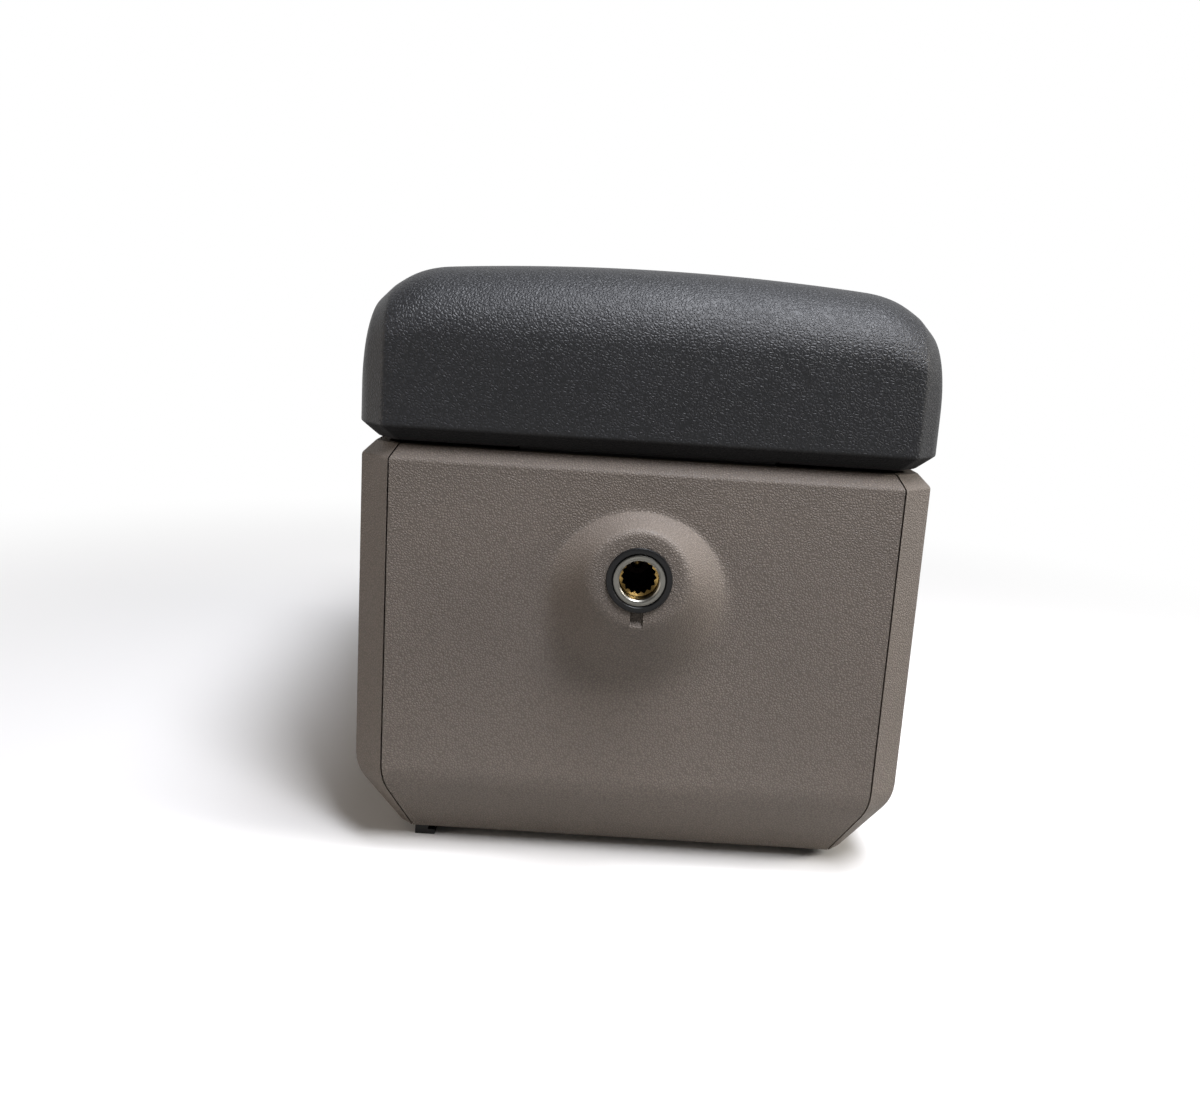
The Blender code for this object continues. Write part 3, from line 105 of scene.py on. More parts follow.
# %% [markdown]
# ## Grained mouldings and the vinyl skin
#
# The four outer panels are moulded ABS. Their mould was etched with a leather grain: low pebbles
# about a millimetre across with finer pits between them, which breaks up the light and hides
# scratches. The lid's skin is vinyl with the same kind of grain, a little coarser and softer.
# Cells from a Voronoi texture make the pebbles, and their coordinates are bent by a noise so that
# no cell is a clean polygon. A second, finer noise gives the pits. A slow noise varies the colour
# and the gloss over a hand's width, as handling and cleaning do.


# %% Grain shared by plastic and vinyl
def grain(tree, pebble_mm, bend_mm, pit_mm):
    """Height of a leather grain: (pebble height, slow variation), both about 0 to 1."""
    place = add_node(tree, "ShaderNodeTexCoord").outputs["Object"]
    vector_math = "ShaderNodeVectorMath"
    bend = add_node(tree, "ShaderNodeTexNoise", {"Vector": place, "Scale": per(3 * pebble_mm), "Detail": 2.0})
    less_half = {0: bend.outputs["Color"], 1: (0.5, 0.5, 0.5)}
    centred = add_node(tree, vector_math, less_half, operation="SUBTRACT")
    shift = add_node(tree, vector_math, {0: centred.outputs[0], "Scale": bend_mm * MM}, operation="SCALE")
    bent = add_node(tree, vector_math, {0: place, 1: shift.outputs[0]}, operation="ADD")
    cells = add_node(
        tree,
        "ShaderNodeTexVoronoi",
        {"Vector": bent.outputs[0], "Scale": per(pebble_mm)},
        feature="DISTANCE_TO_EDGE",
    )
    dome = add_node(
        tree,
        "ShaderNodeMapRange",
        {"Value": cells.outputs["Distance"], "From Min": 0.0, "From Max": 0.32},
        interpolation_type="SMOOTHERSTEP",
    )
    pits = add_node(tree, "ShaderNodeTexNoise", {"Vector": place, "Scale": per(pit_mm), "Detail": 3.0})
    height = add_node(
        tree,
        "ShaderNodeMath",
        {0: pits.outputs["Fac"], 1: 0.7, 2: dome.outputs["Result"]},
        operation="MULTIPLY_ADD",
    )
    slow_noise = {"Vector": place, "Scale": per(60), "Detail": 4.0, "Roughness": 0.6}
    slow = add_node(tree, "ShaderNodeTexNoise", slow_noise)
    return height.outputs[0], slow.outputs["Fac"]


def grained(slot, name, colours, pebble_mm, depth_mm, roughness):
    """A grained finish for a slot. colours are the valley's, the pebble's and the worn pebble's."""
    material, tree, shader = new_material(name)
    height, slow = grain(tree, pebble_mm, 0.8 * pebble_mm, 0.35 * pebble_mm)
    valley, pebble, worn = (tone(colour) for colour in colours)
    tint = add_node(tree, "ShaderNodeMapRange", {"Value": slow, "From Min": 0.3, "From Max": 0.7})
    body = add_node(tree, "ShaderNodeMix", {0: tint.outputs[0], 6: pebble, 7: worn}, data_type="RGBA")
    rise = add_node(tree, "ShaderNodeMapRange", {"Value": height, "From Min": 0.2, "From Max": 1.0})
    layers = {0: rise.outputs[0], 6: valley, 7: body.outputs[2]}
    colour = add_node(tree, "ShaderNodeMix", layers, data_type="RGBA")
    tree.links.new(colour.outputs[2], shader.inputs["Base Color"])
    gloss = add_node(
        tree,
        "ShaderNodeMapRange",
        {"Value": slow, "From Min": 0.3, "From Max": 0.7, "To Min": roughness[0], "To Max": roughness[1]},
    )
    tree.links.new(gloss.outputs[0], shader.inputs["Roughness"])
    bump = add_node(tree, "ShaderNodeBump", {"Strength": 1.0, "Distance": depth_mm * MM, "Height": height})
    tree.links.new(bump.outputs["Normal"], shader.inputs["Normal"])
    finish[slot] = material


# %% [markdown]
# Four finishes share this grain. The taupe plastic and the vinyl show it clearly. The polypropylene
# of the bin and the rubber of the mat have a much finer one, which only dulls them.

# %% The grained finishes
finish = {}
TAUPE = ("675f58", "7b726a", "82786f")
CHARCOAL = ("131416", "1d1e21", "232428")
BIN_BLACK = ("17171a", "1f1f21", "242426")
RUBBER_BLACK = ("141414", "1a1a1a", "202020")
grained("taupe_plastic", "moulded ABS, taupe leather grain", TAUPE, 1.5, 0.20, (0.50, 0.58))
grained("charcoal_vinyl", "vinyl skin, charcoal leather grain", CHARCOAL, 1.9, 0.17, (0.44, 0.54))
grained("dark_plastic", "moulded polypropylene, black", BIN_BLACK, 0.9, 0.04, (0.48, 0.6))
grained("black_rubber", "moulded rubber, black", RUBBER_BLACK, 0.5, 0.03, (0.7, 0.8))
print("grained finishes:", sorted(finish))

# %% [markdown]
# ## Metals, gloss plastic and phenolic board
#
# The socket's barrel is nickel plated: a warm grey with soft scratches that run round it where a
# plug rubs. Screws, pins and the striker are zinc plated, bluer and duller. A metal's colour is in
# its reflection, so the base colour is the metal's own and metallic is one. The pressed frame and
# the hinge are black electrocoated steel, which is a thin, slightly uneven paint.


# %% Metals, gloss plastic and board
def plain_finish(slot, name, colour, roughness, metallic, patch_mm=9.0, spread=0.08, bump_mm=0.01):
    """A finish with slow patches of gloss and a faint unevenness."""
    material, tree, shader = new_material(name)
    place = add_node(tree, "ShaderNodeTexCoord").outputs["Object"]
    patches = add_node(tree, "ShaderNodeTexNoise", {"Vector": place, "Scale": per(patch_mm), "Detail": 4.0})
    gloss = add_node(
        tree,
        "ShaderNodeMapRange",
        {
            "Value": patches.outputs["Fac"],
            "From Min": 0.3,
            "From Max": 0.7,
            "To Min": roughness - spread,
            "To Max": roughness + spread,
        },
    )
    tree.links.new(gloss.outputs[0], shader.inputs["Roughness"])
    dark = tuple(0.82 * c for c in tone(colour)[:3])
    mottle = add_node(
        tree, "ShaderNodeMix", {0: patches.outputs["Fac"], 6: (*dark, 1), 7: tone(colour)}, data_type="RGBA"
    )
    tree.links.new(mottle.outputs[2], shader.inputs["Base Color"])
    shader.inputs["Metallic"].default_value = metallic
    fine = add_node(tree, "ShaderNodeTexNoise", {"Vector": place, "Scale": per(0.6), "Detail": 3.0})
    bump = add_node(
        tree, "ShaderNodeBump", {"Strength": 1.0, "Distance": bump_mm * MM, "Height": fine.outputs["Fac"]}
    )
    tree.links.new(bump.outputs["Normal"], shader.inputs["Normal"])
    finish[slot] = material


plain_finish("nickel_plate", "nickel plate, worn", "97958e", 0.33, 1.0)
plain_finish("zinc_steel", "zinc plate, passivated", "a9abae", 0.36, 1.0)
plain_finish("brass", "brass, bare", "c9a664", 0.30, 1.0)
plain_finish("black_steel", "electrocoated steel, black", "1d1d1e", 0.42, 0.0, 20.0, 0.06, 0.02)
plain_finish("gloss_black", "moulded nylon, black", "0b0b0d", 0.36, 0.0, 14.0, 0.05, 0.006)
plain_finish("brown_phenolic", "phenolic board, brown", "573624", 0.55, 0.0)
print("finishes:", len(finish))

# %% [markdown]
# The model's record says which finish each solid has, so one loop puts them all on.

# %% Put a finish on every solid
slot_of = {part["node"]: part["material_slot"] for part in frame["record"]["subparts"]}
for name, solid in frame["nodes"].items():
    solid.data.materials.clear()
    solid.data.materials.append(finish[slot_of[name]])
body_of = {name: body for body, names in frame["record"]["behaviour"]["bodies"].items() for name in names}
print("solids with a finish:", len(slot_of))

# %% [markdown]
# ## Fine copies of the hard mouldings
#
# A solid model arrives as loose, flat triangles, so a round edge shows its facets. The fix is what
# a modeller would do by hand: copy the piece, merge its points, dissolve the lines inside flat
# faces, give its edges a small bevel, and smooth the shading by angle. The solid itself is left
# alone, and the copy stands for it.


# %% Helpers for modelling with operators
def select_only(piece):
    """Selects one object, and nothing else, and makes it active."""
    if bpy.context.mode != "OBJECT":
        bpy.ops.object.mode_set(mode="OBJECT")
    bpy.ops.object.select_all(action="DESELECT")
    piece.select_set(True)
    bpy.context.view_layer.objects.active = piece


def apply_modifier(piece, kind, **settings):
    """Adds a modifier with its settings and applies it."""
    select_only(piece)
    modifier = piece.modifiers.new(kind.lower(), kind)
    for name, value in settings.items():
        setattr(modifier, name, value)
    bpy.ops.object.modifier_apply(modifier=modifier.name)


def smooth_shade(piece, degrees=32):
    """Smooth shading with sharp edges by angle, then normals that favour the large faces."""
    select_only(piece)
    bpy.ops.object.shade_smooth_by_angle(angle=radians(degrees), keep_sharp_edges=False)
    apply_modifier(piece, "WEIGHTED_NORMAL", keep_sharp=True, weight=80)


BEVEL_DEGREES = 38
MERGE_DISTANCE = 2e-6
FLAT_DEGREES = 1


def fine_copy(name, edge_mm=0.0, degrees=32, rework=None):
    """A merged, bevelled and smooth copy that stands for a solid. rework may reshape it first."""
    solid = frame["nodes"][name]
    piece = bpy.data.objects.new(f"{name}_fine", solid.data.copy())
    scene.collection.objects.link(piece)
    select_only(piece)
    bpy.ops.object.mode_set(mode="EDIT")
    bpy.ops.mesh.select_all(action="SELECT")
    bpy.ops.mesh.remove_doubles(threshold=MERGE_DISTANCE)
    bpy.ops.mesh.dissolve_limited(angle_limit=radians(FLAT_DEGREES))
    bpy.ops.object.mode_set(mode="OBJECT")
    if piece.data.has_custom_normals:
        bpy.ops.mesh.customdata_custom_splitnormals_clear()
    if rework:
        rework(piece)
    if edge_mm:
        apply_modifier(
            piece,
            "BEVEL",
            width=edge_mm * MM,
            segments=2,
            limit_method="ANGLE",
            angle_limit=radians(BEVEL_DEGREES),
        )
    smooth_shade(piece, degrees)
    piece["slot"] = slot_of[name]
    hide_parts(name)
    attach(piece, body_of[name])
    return piece


# %% [markdown]
# ## The socket boss
#
# The feature that tells this console apart is the boss moulded into its rear panel: an oblique
# cone whose face sits higher than its foot, so its top flank is steep and its lower flank is long.
# The solid draws it with few sides, so we cut a round window in the copy of the panel and turn a
# finer boss to fill it. A ring of points is extruded into a tube with one level for each circle of
# the boss, and each level is then laid on its own circle.

# %% Circles of the boss
panel_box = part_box("rear_panel")
bezel_low, bezel_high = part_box("socket_bezel")
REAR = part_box("left_side_panel")[0].y
BOSS_PROUD = REAR - panel_box[0].y
BOSS_X = (bezel_low.x + bezel_high.x) / 2
FACE_Z = (bezel_low.z + bezel_high.z) / 2
# Face above the foot, face proud of the panel, and drop of the flared foot, in mm
CLIMB = 15.6
PROUD = 25
FLARE = 3.5
# The flare starts at the first radius and is whole this much further out, in mm
FLARE_START = 45.5
FLARE_REACH = 6.5
FOOT_Z = FACE_Z - CLIMB * MM
WINDOW = 57 * MM
SIDES = 96


def arc(first, corner, last, steps):
    """Points of a quadratic curve between two points, drawn towards a corner."""
    points = []
    for t in (step / steps for step in range(steps + 1)):
        shares = (1 - t) ** 2, 2 * t * (1 - t), t**2
        values = zip(first, corner, last)
        points.append(tuple(shares[0] * a + shares[1] * b + shares[2] * c for a, b, c in values))
    return points


# Each circle is (radius, proud), in mm
foot = arc((54.5, 0), (48.6, 0), (44.5, 4.2), 8)
flank = [(41.3, 7.4), (38.3, 10.5), (34.2, 15.8)]
edge = arc((30.1, 21), (27, PROUD), (23, PROUD), 7)
rim = [(19, PROUD), (16.2, PROUD), (15.8, 24.7)]
circles = [(WINDOW / MM, 0)] + foot + flank + edge + rim


def circle_middle(radius, proud):
    """Height of a circle's middle, in mm above the foot's: it climbs with the boss, less its flare."""
    t = min(max((radius - FLARE_START) / FLARE_REACH, 0), 1)
    return CLIMB * proud / PROUD - FLARE * t * t * (3 - 2 * t)


print("circles over the boss:", len(circles))


# %% [markdown]
# The tube gets its wall from Solidify. Two blocks then cut the notch for a cap's strap under the
# bezel, and the boss is joined to the panel's copy.


# %% Turn the boss and set it in the panel
def cut_out(target, block):
    """Takes a helper solid out of a piece and removes the helper."""
    select_only(block)
    bpy.ops.object.transform_apply(location=True, rotation=True, scale=True)
    apply_modifier(target, "BOOLEAN", operation="DIFFERENCE", object=block)
    bpy.data.objects.remove(block)


def boss_tube():
    """A tube with a level for each circle, laid on the circles, with a wall."""
    bpy.ops.mesh.primitive_circle_add(vertices=SIDES, radius=1, location=(0, 0, 0))
    boss = bpy.context.object
    boss.name = "boss_fine"
    bpy.ops.object.mode_set(mode="EDIT")
    for level in circles[1:]:
        bpy.ops.mesh.extrude_edges_move(TRANSFORM_OT_translate={"value": (0, 0, 1)})
    bpy.ops.object.mode_set(mode="OBJECT")
    scale_y = BOSS_PROUD / (PROUD * MM)
    for vertex in boss.data.vertices:
        radius, proud = circles[round(vertex.co.z)]
        middle = FOOT_Z + circle_middle(radius, proud) * MM
        side, up = radius * MM * vertex.co.x, radius * MM * vertex.co.y
        vertex.co = (BOSS_X + side, REAR - proud * MM * scale_y, middle + up)
    bpy.ops.object.mode_set(mode="EDIT")
    bpy.ops.mesh.select_all(action="SELECT")
    bpy.ops.mesh.normals_make_consistent(inside=False)
    bpy.ops.object.mode_set(mode="OBJECT")
    if sum(face.normal.y * face.area for face in boss.data.polygons) > 0:
        boss.data.flip_normals()
    apply_modifier(boss, "SOLIDIFY", thickness=3 * MM, offset=-1)
    return boss


# Each block is (low z, high z, lift of its inner lower edge), in mm
NOTCH_BLOCKS = ((153, 172, 0), (149.6, 153.2, 2.2))
NOTCH_WIDTH = 7
NOTCH_DEPTH = 3.7


def cut_notch(boss):
    """Strap notch under the bezel: a deep step, then a ramp up to the face."""
    face = REAR - BOSS_PROUD
    for low_z, high_z, lift in NOTCH_BLOCKS:
        size = Vector((NOTCH_WIDTH * MM, NOTCH_DEPTH * MM, (high_z - low_z) * MM))
        place = (BOSS_X, face - 1 * MM + size.y / 2, (low_z + high_z) / 2 * MM)
        bpy.ops.mesh.primitive_cube_add(size=1, location=place)
        block = bpy.context.object
        block.scale = size
        for vertex in block.data.vertices:
            if vertex.co.z < 0 < vertex.co.y:
                vertex.co.y -= lift * MM / size.y
        cut_out(boss, block)


def new_boss(piece):
    """Cuts the window in the panel's copy and joins the fine boss to it."""
    place = (BOSS_X, REAR - BOSS_PROUD, FOOT_Z + circle_middle(WINDOW / MM, 0) * MM)
    bpy.ops.mesh.primitive_cylinder_add(
        vertices=SIDES,
        radius=WINDOW,
        depth=4 * BOSS_PROUD,
        location=place,
        rotation=(radians(90), 0, 0),
    )
    cut_out(piece, bpy.context.object)
    boss = boss_tube()
    cut_notch(boss)
    boss.data.materials.append(finish["taupe_plastic"])
    select_only(boss)
    piece.select_set(True)
    bpy.context.view_layer.objects.active = piece
    bpy.ops.object.join()


fine_copy("rear_panel", 0.4, 34, new_boss)
print("rear face at y, mm:", round(1000 * REAR, 1), "boss proud, mm:", round(1000 * BOSS_PROUD, 1))

# %% [markdown]
# The other hard pieces are copied in one loop. A moulding's edge is rounder than a pressed one's,
# so each gets its own bevel, and screws and turned pieces get none.

# %% Copy the other hard pieces
EDGES_MM = {
    "front_panel": 0.5,
    "left_side_panel": 0.5,
    "right_side_panel": 0.5,
    "storage_bin": 0.4,
    "bin_mat": 0.3,
    "lid_frame": 0.3,
    "lid_inner_panel": 0.4,
    "latch_paddle": 0.4,
    "hinge_base_leaf": 0.2,
    "hinge_lid_leaf": 0.2,
    "latch_striker": 0.2,
}
for name in sorted(frame["nodes"]):
    if name not in ("armrest_pad", "rear_panel"):
        fine_copy(name, EDGES_MM.get(name, 0.0))
print("fine copies:", len(frame["nodes"]) - 1)

# %% [markdown]
# ## The padded lid
#
# The real cover is vinyl over moulded foam: a slab with a crowned top, a large roll over the rear
# and front edges, and a flat cut across each vertical corner. Its lower edge is bevelled all round.
# Foam keeps a firm shape, so it is drawn as sections across the lid and softened by subdivision,
# instead of being blown up like a cushion.

# %% Sizes of the lid
pad_low, pad_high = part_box("armrest_pad")
OVERHANG_LINE = pad_low.y
FRONT_LINE = pad_high.y
PAD_BOTTOM = pad_low.z
HALF_WIDTH = pad_high.x
CROWN_ALONG = 1.6 * MM
CROWN_ACROSS = 7.5 * MM
PAD_TOP = pad_high.z - CROWN_ALONG
ROLL = 45 * MM
ROLL_STEPS = 8
# Part of a section's drop that its roll loses, and height of the points that hold the bevel's edge
ROLL_LOSS = 0.45
HOLD = 3 * MM
BEVEL = 8.3 * MM
FACET_X = 143 * MM
FACET = HALF_WIDTH - FACET_X
print("lid, mm:", [round(1000 * size, 1) for size in pad_high - pad_low])


# %% [markdown]
# A section runs from the rear face over the top to the front face. Towards each side its ends draw
# in and its top drops, which makes the flat cut across the corner and the slope above the side.


# %% Sections of the lid
def profile(inset, drop):
    """Points over one section, rear to front, as (y, z). inset draws in its ends, drop lowers its top."""
    rear, front, top = OVERHANG_LINE + inset, FRONT_LINE - inset, PAD_TOP - drop
    roll = ROLL - ROLL_LOSS * drop
    turn = [step * pi / 2 / ROLL_STEPS for step in range(ROLL_STEPS + 1)]
    middle, half = (rear + front) / 2, (front - rear) / 2 - roll
    points = [(rear, PAD_BOTTOM + BEVEL), (rear, PAD_BOTTOM + BEVEL + HOLD)]
    points += [(rear + roll * (1 - cos(a)), top - roll * (1 - sin(a))) for a in turn]
    for share in (-0.75, -0.5, -0.25, 0, 0.25, 0.5, 0.75):
        points.append((middle + half * share, top + CROWN_ALONG * (1 - share**2)))
    points += [(front - roll * (1 - cos(a)), top - roll * (1 - sin(a))) for a in reversed(turn)]
    return points + [(front, PAD_BOTTOM + BEVEL + HOLD), (front, PAD_BOTTOM + BEVEL)]


def crown(x, z):
    """Drop of the top towards the sides, faded out down the rear and front faces."""
    share = min(max(z - (PAD_TOP - ROLL), 0) / ROLL, 1)
    return CROWN_ACROSS * (min(abs(x), FACET_X) / FACET_X) ** 2 * share


# Sections over a corner: distance past FACET_X and inset, as shares of FACET, and drop in mm
CORNER = (
    (-1.25, 0, 0.3),
    (-0.6, 0, 3.0),
    (-0.05, 0, 10.0),
    (0.03, 0.03, 11.2),
    (0.30, 0.335, 16),
    (0.56, 0.60, 20.6),
    (0.66, 0.74, 23.5),
    (0.80, 0.98, 33),
    (0.91, 1.35, 45),
    (0.98, 1.8, 64),
    (1.0, 2.3, 84),
)
stations = [(FACET_X + out * FACET, inset * FACET, drop * MM) for out, inset, drop in CORNER]
FLAT_SHARE = 0.8
middle_x = [(FLAT_SHARE * FACET_X * step / 5, 0, 0) for step in range(-5, 6)]
stations = [(-x, inset, drop) for x, inset, drop in reversed(stations)] + middle_x + stations
sections = [[(x, y, z - crown(x, z)) for y, z in profile(inset, drop)] for x, inset, drop in stations]
print("sections:", len(sections), "with", len(sections[0]), "points each")

# %% [markdown]
# Neighbouring sections are joined point by point, and the two ends are closed with one face each.

# %% Skin over the sections
columns = len(sections[0])
points = [point for section in sections for point in section]
faces = []
for i in range(len(sections) - 1):
    for j in range(columns - 1):
        a, b = i * columns + j, (i + 1) * columns + j
        faces.append((a, a + 1, b + 1, b))
last = (len(sections) - 1) * columns
faces.append(tuple(range(columns - 1, -1, -1)))
faces.append(tuple(range(last, last + columns)))
skin = bpy.data.meshes.new("armrest_cover")
skin.from_pydata(points, [], faces)
cover = bpy.data.objects.new("armrest_cover", skin)
scene.collection.objects.link(cover)
print("cover skin:", len(points), "points and", len(faces), "faces")

# %% [markdown]
# The open lower edge is extruded down and inwards for the bevel and inwards again for a flat lip,
# and is then closed. A crease keeps the bevel firm when the skin is subdivided.

# %% Lower bevel and underside
select_only(cover)
bpy.ops.object.mode_set(mode="EDIT")
bpy.ops.mesh.select_mode(type="EDGE")
bpy.ops.mesh.select_all(action="DESELECT")
bpy.ops.mesh.select_non_manifold()
half_length = (FRONT_LINE - OVERHANG_LINE) / 2
centre = (0, (FRONT_LINE + OVERHANG_LINE) / 2, PAD_BOTTOM)
LIP = 4 * MM
BEVEL_CREASE = 0.6
for step_in, step_down in ((BEVEL, BEVEL), (LIP, 0)):
    bpy.ops.mesh.extrude_region_move(TRANSFORM_OT_translate={"value": (0, 0, -step_down)})
    shares = (1 - step_in / HALF_WIDTH, 1 - step_in / half_length, 1)
    bpy.ops.transform.resize(value=shares, center_override=centre, orient_type="GLOBAL")
bpy.ops.mesh.edge_face_add()
bpy.ops.mesh.select_all(action="SELECT")
bpy.ops.mesh.normals_make_consistent(inside=False)
bpy.ops.object.mode_set(mode="OBJECT")
crease = skin.attributes.new("crease_edge", "FLOAT", "EDGE")
for edge in skin.edges:
    heights = [skin.vertices[v].co.z for v in edge.vertices]
    if max(heights) < PAD_BOTTOM + BEVEL + 0.1 * MM:
        crease.data[edge.index].value = BEVEL_CREASE
apply_modifier(cover, "SUBSURF", levels=2, render_levels=2)
print("cover faces:", len(skin.polygons))

# %% [markdown]
# The cover's lower bevel faces down over the body and lies in shade, so it shows as a dark line all
# round. That shade is painted: the skin's colour is turned to black below the bevel's upper edge, and
# its highlight is taken down with it. Two small functions help: one gives a share that grows along an
# axis, and one finds what already feeds a socket of the shader, so that a mix can be put in between.


# %% Painted shade on the lid's lower bevel
def share_along(tree, axis, start, end):
    """A share that grows from 0 to 1 between two places on an axis."""
    place = add_node(tree, "ShaderNodeTexCoord").outputs["Object"]
    along = add_node(tree, "ShaderNodeSeparateXYZ", {"Vector": place}).outputs[axis]
    reach = {"Value": along, "From Min": start, "From Max": end}
    return add_node(tree, "ShaderNodeMapRange", reach).outputs[0]


def linked_socket(shader, name):
    """The output that feeds a socket of the shader."""
    return shader.inputs[name].links[0].from_socket


tree = finish["charcoal_vinyl"].node_tree
shader = tree.nodes["Principled BSDF"]
FADE_BELOW = 1.2 * MM
FADE_ABOVE = 0.4 * MM
edge_top = PAD_BOTTOM + BEVEL
# Painted shade: below the bevel's upper edge the skin's colour fades to near black, and the roughness rises
# there so its highlight goes too.
painted_shade_fade = share_along(tree, "Z", edge_top - FADE_BELOW, edge_top + FADE_ABOVE)
layers = {0: painted_shade_fade, 6: tone("08080a"), 7: linked_socket(shader, "Base Color")}
painted_shade_mix = add_node(tree, "ShaderNodeMix", layers, data_type="RGBA")
tree.links.new(painted_shade_mix.outputs[2], shader.inputs["Base Color"])
painted_shade_roughness = add_node(tree, "ShaderNodeMix", {0: painted_shade_fade, 2: 0.9, 3: linked_socket(shader, "Roughness")})
tree.links.new(painted_shade_roughness.outputs[0], shader.inputs["Roughness"])
print("black edge below z, mm:", round(1000 * edge_top, 1))

# %% [markdown]
# Deep inside the barrel the bore lies in shade and reads almost black past its rim. That shade is
# painted: the same share, this time along Y, turns the nickel dark in the first few millimetres.

# %% Painted shade inside the socket
tree = finish["nickel_plate"].node_tree
shader = tree.nodes["Principled BSDF"]
BORE_SHADE_START = 0.5 * MM
BORE_SHADE_FULL = 5 * MM
bore_mouth = REAR - BOSS_PROUD
# Painted shade: past the rim the nickel's colour fades to near black and stands in for the shade deep in the
# bore.
painted_bore_shade = share_along(tree, "Y", bore_mouth + BORE_SHADE_START, bore_mouth + BORE_SHADE_FULL)
layers = {0: painted_bore_shade, 6: linked_socket(shader, "Base Color"), 7: tone("1d1a18")}
painted_bore_shade_mix = add_node(tree, "ShaderNodeMix", layers, data_type="RGBA")
tree.links.new(painted_bore_shade_mix.outputs[2], shader.inputs["Base Color"])
print("tarnish starts at y, mm:", round(1000 * bore_mouth, 1))

# %% [markdown]
# A few millimetres inside the barrel stands a ring of spring tips, which grips the plug. It is a
# thin plate with a toothed inner edge, so a circle is extruded inwards and every other point of
# the inner circle is pulled further in.

# %% Spring tips
TIPS = 16
TIP_RADIUS = (10.5 * MM, 9.7 * MM, 8.5 * MM)
TIP_DEPTH = 8 * MM
TIP_LEAN = 1.5 * MM
TIP_THICKNESS = 0.4 * MM
place = (BOSS_X, bore_mouth + TIP_DEPTH, FACE_Z)
bpy.ops.mesh.primitive_circle_add(
    vertices=2 * TIPS, radius=TIP_RADIUS[0], location=place, rotation=(radians(90), 0, 0)
)
tips = bpy.context.object
tips.name = "socket_spring_tips"
bpy.ops.object.mode_set(mode="EDIT")
bpy.ops.mesh.extrude_edges_move()
bpy.ops.transform.resize(value=(TIP_RADIUS[1] / TIP_RADIUS[0],) * 3, center_override=place)
bpy.ops.object.mode_set(mode="OBJECT")
bpy.ops.object.transform_apply(location=True, rotation=True, scale=True)
for number, vertex in enumerate(tips.data.vertices[2 * TIPS :]):
    if number % 2:
        pull = TIP_RADIUS[2] / TIP_RADIUS[1]
        vertex.co.x = place[0] + pull * (vertex.co.x - place[0])
        vertex.co.z = place[2] + pull * (vertex.co.z - place[2])
        vertex.co.y += TIP_LEAN
apply_modifier(tips, "SOLIDIFY", thickness=TIP_THICKNESS, offset=0)
tips.data.materials.append(finish["brass"])
smooth_shade(tips, 30)
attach(tips, "body")
print("spring tips:", TIPS)

# %% [markdown]
# The cover would fill the space of the tray, the inner panel, the latch paddle and the hinge, so
# blocks of about the size of those pieces are cut out of it.

# %% Rooms in the cover
panel_low, panel_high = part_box("lid_inner_panel")
tray_low, tray_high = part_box("lid_frame")
paddle_low, paddle_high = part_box("latch_paddle")
leaf_low, leaf_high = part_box("hinge_lid_leaf")


def select_edges(piece, wanted):
    """Selects the edges whose two ends pass a test, and leaves the piece in edit mode."""
    bpy.ops.object.mode_set(mode="EDIT")
    bpy.ops.mesh.select_mode(type="EDGE")
    bpy.ops.mesh.select_all(action="DESELECT")
    bpy.ops.object.mode_set(mode="OBJECT")
    for edge in piece.data.edges:
        edge.select = wanted(*(piece.data.vertices[v].co for v in edge.vertices))
    bpy.ops.object.mode_set(mode="EDIT")


def room(name, x_span, y_span, z_span, corner=0.0):
    """Cuts a block of room out of the cover. corner rounds its upright edges."""
    low, high = (Vector(ends) for ends in zip(x_span, y_span, z_span))
    bpy.ops.mesh.primitive_cube_add(size=1, location=(low + high) / 2)
    block = bpy.context.object
    block.name = name
    block.scale = high - low
    bpy.ops.object.transform_apply(location=True, rotation=True, scale=True)
    if corner:
        select_edges(block, lambda a, b: abs(a.z - b.z) > MM)
        bpy.ops.mesh.bevel(offset=corner, segments=6)
        bpy.ops.object.mode_set(mode="OBJECT")
    apply_modifier(cover, "BOOLEAN", operation="DIFFERENCE", object=block)
    bpy.data.objects.remove(block)


gap = 0.3 * MM
slack = 1 * MM
tray_inset = 2.7 * MM
paddle_gap = 1.2 * MM
under_pad = PAD_BOTTOM - slack
tray_top = tray_high.z - 24 * MM
room(
    "panel_room",
    (panel_low.x - gap, panel_high.x + gap),
    (panel_low.y - gap, panel_high.y + gap),
    (under_pad, tray_low.z),
    20 * MM,
)
room(
    "tray_room",
    (tray_low.x - gap, tray_high.x + gap),
    (panel_low.y + tray_inset, panel_high.y - tray_inset),
    (PAD_BOTTOM, tray_top),
    18 * MM,
)
room(
    "paddle_room",
    (paddle_low.x - paddle_gap, paddle_high.x + paddle_gap),
    (panel_high.y - 4 * MM, FRONT_LINE + 5 * MM),
    (under_pad, paddle_high.z + paddle_gap),
)
room(
    "hinge_room",
    (leaf_low.x - slack, leaf_high.x + slack),
    (leaf_low.y - 0.6 * MM, panel_low.y + 5 * MM),
    (under_pad, leaf_high.z + slack),
)
smooth_shade(cover, 35)
cover.data.materials.clear()
cover.data.materials.append(finish["charcoal_vinyl"])
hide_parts("armrest_pad")
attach(cover, "lid")
print("cover after its rooms:", len(cover.data.polygons))

# %% [markdown]
# ## Floor, light and camera
#
# A sheet of pale paper that curves up behind the object gives a plain ground with no horizon. Near
# the object it is ordinary matt paper, so it takes the shadow. Further away it is plain white for
# the camera, and gives back little light to the object, so that the boss's underside stays dark
# while the foot of the box is lit from below.

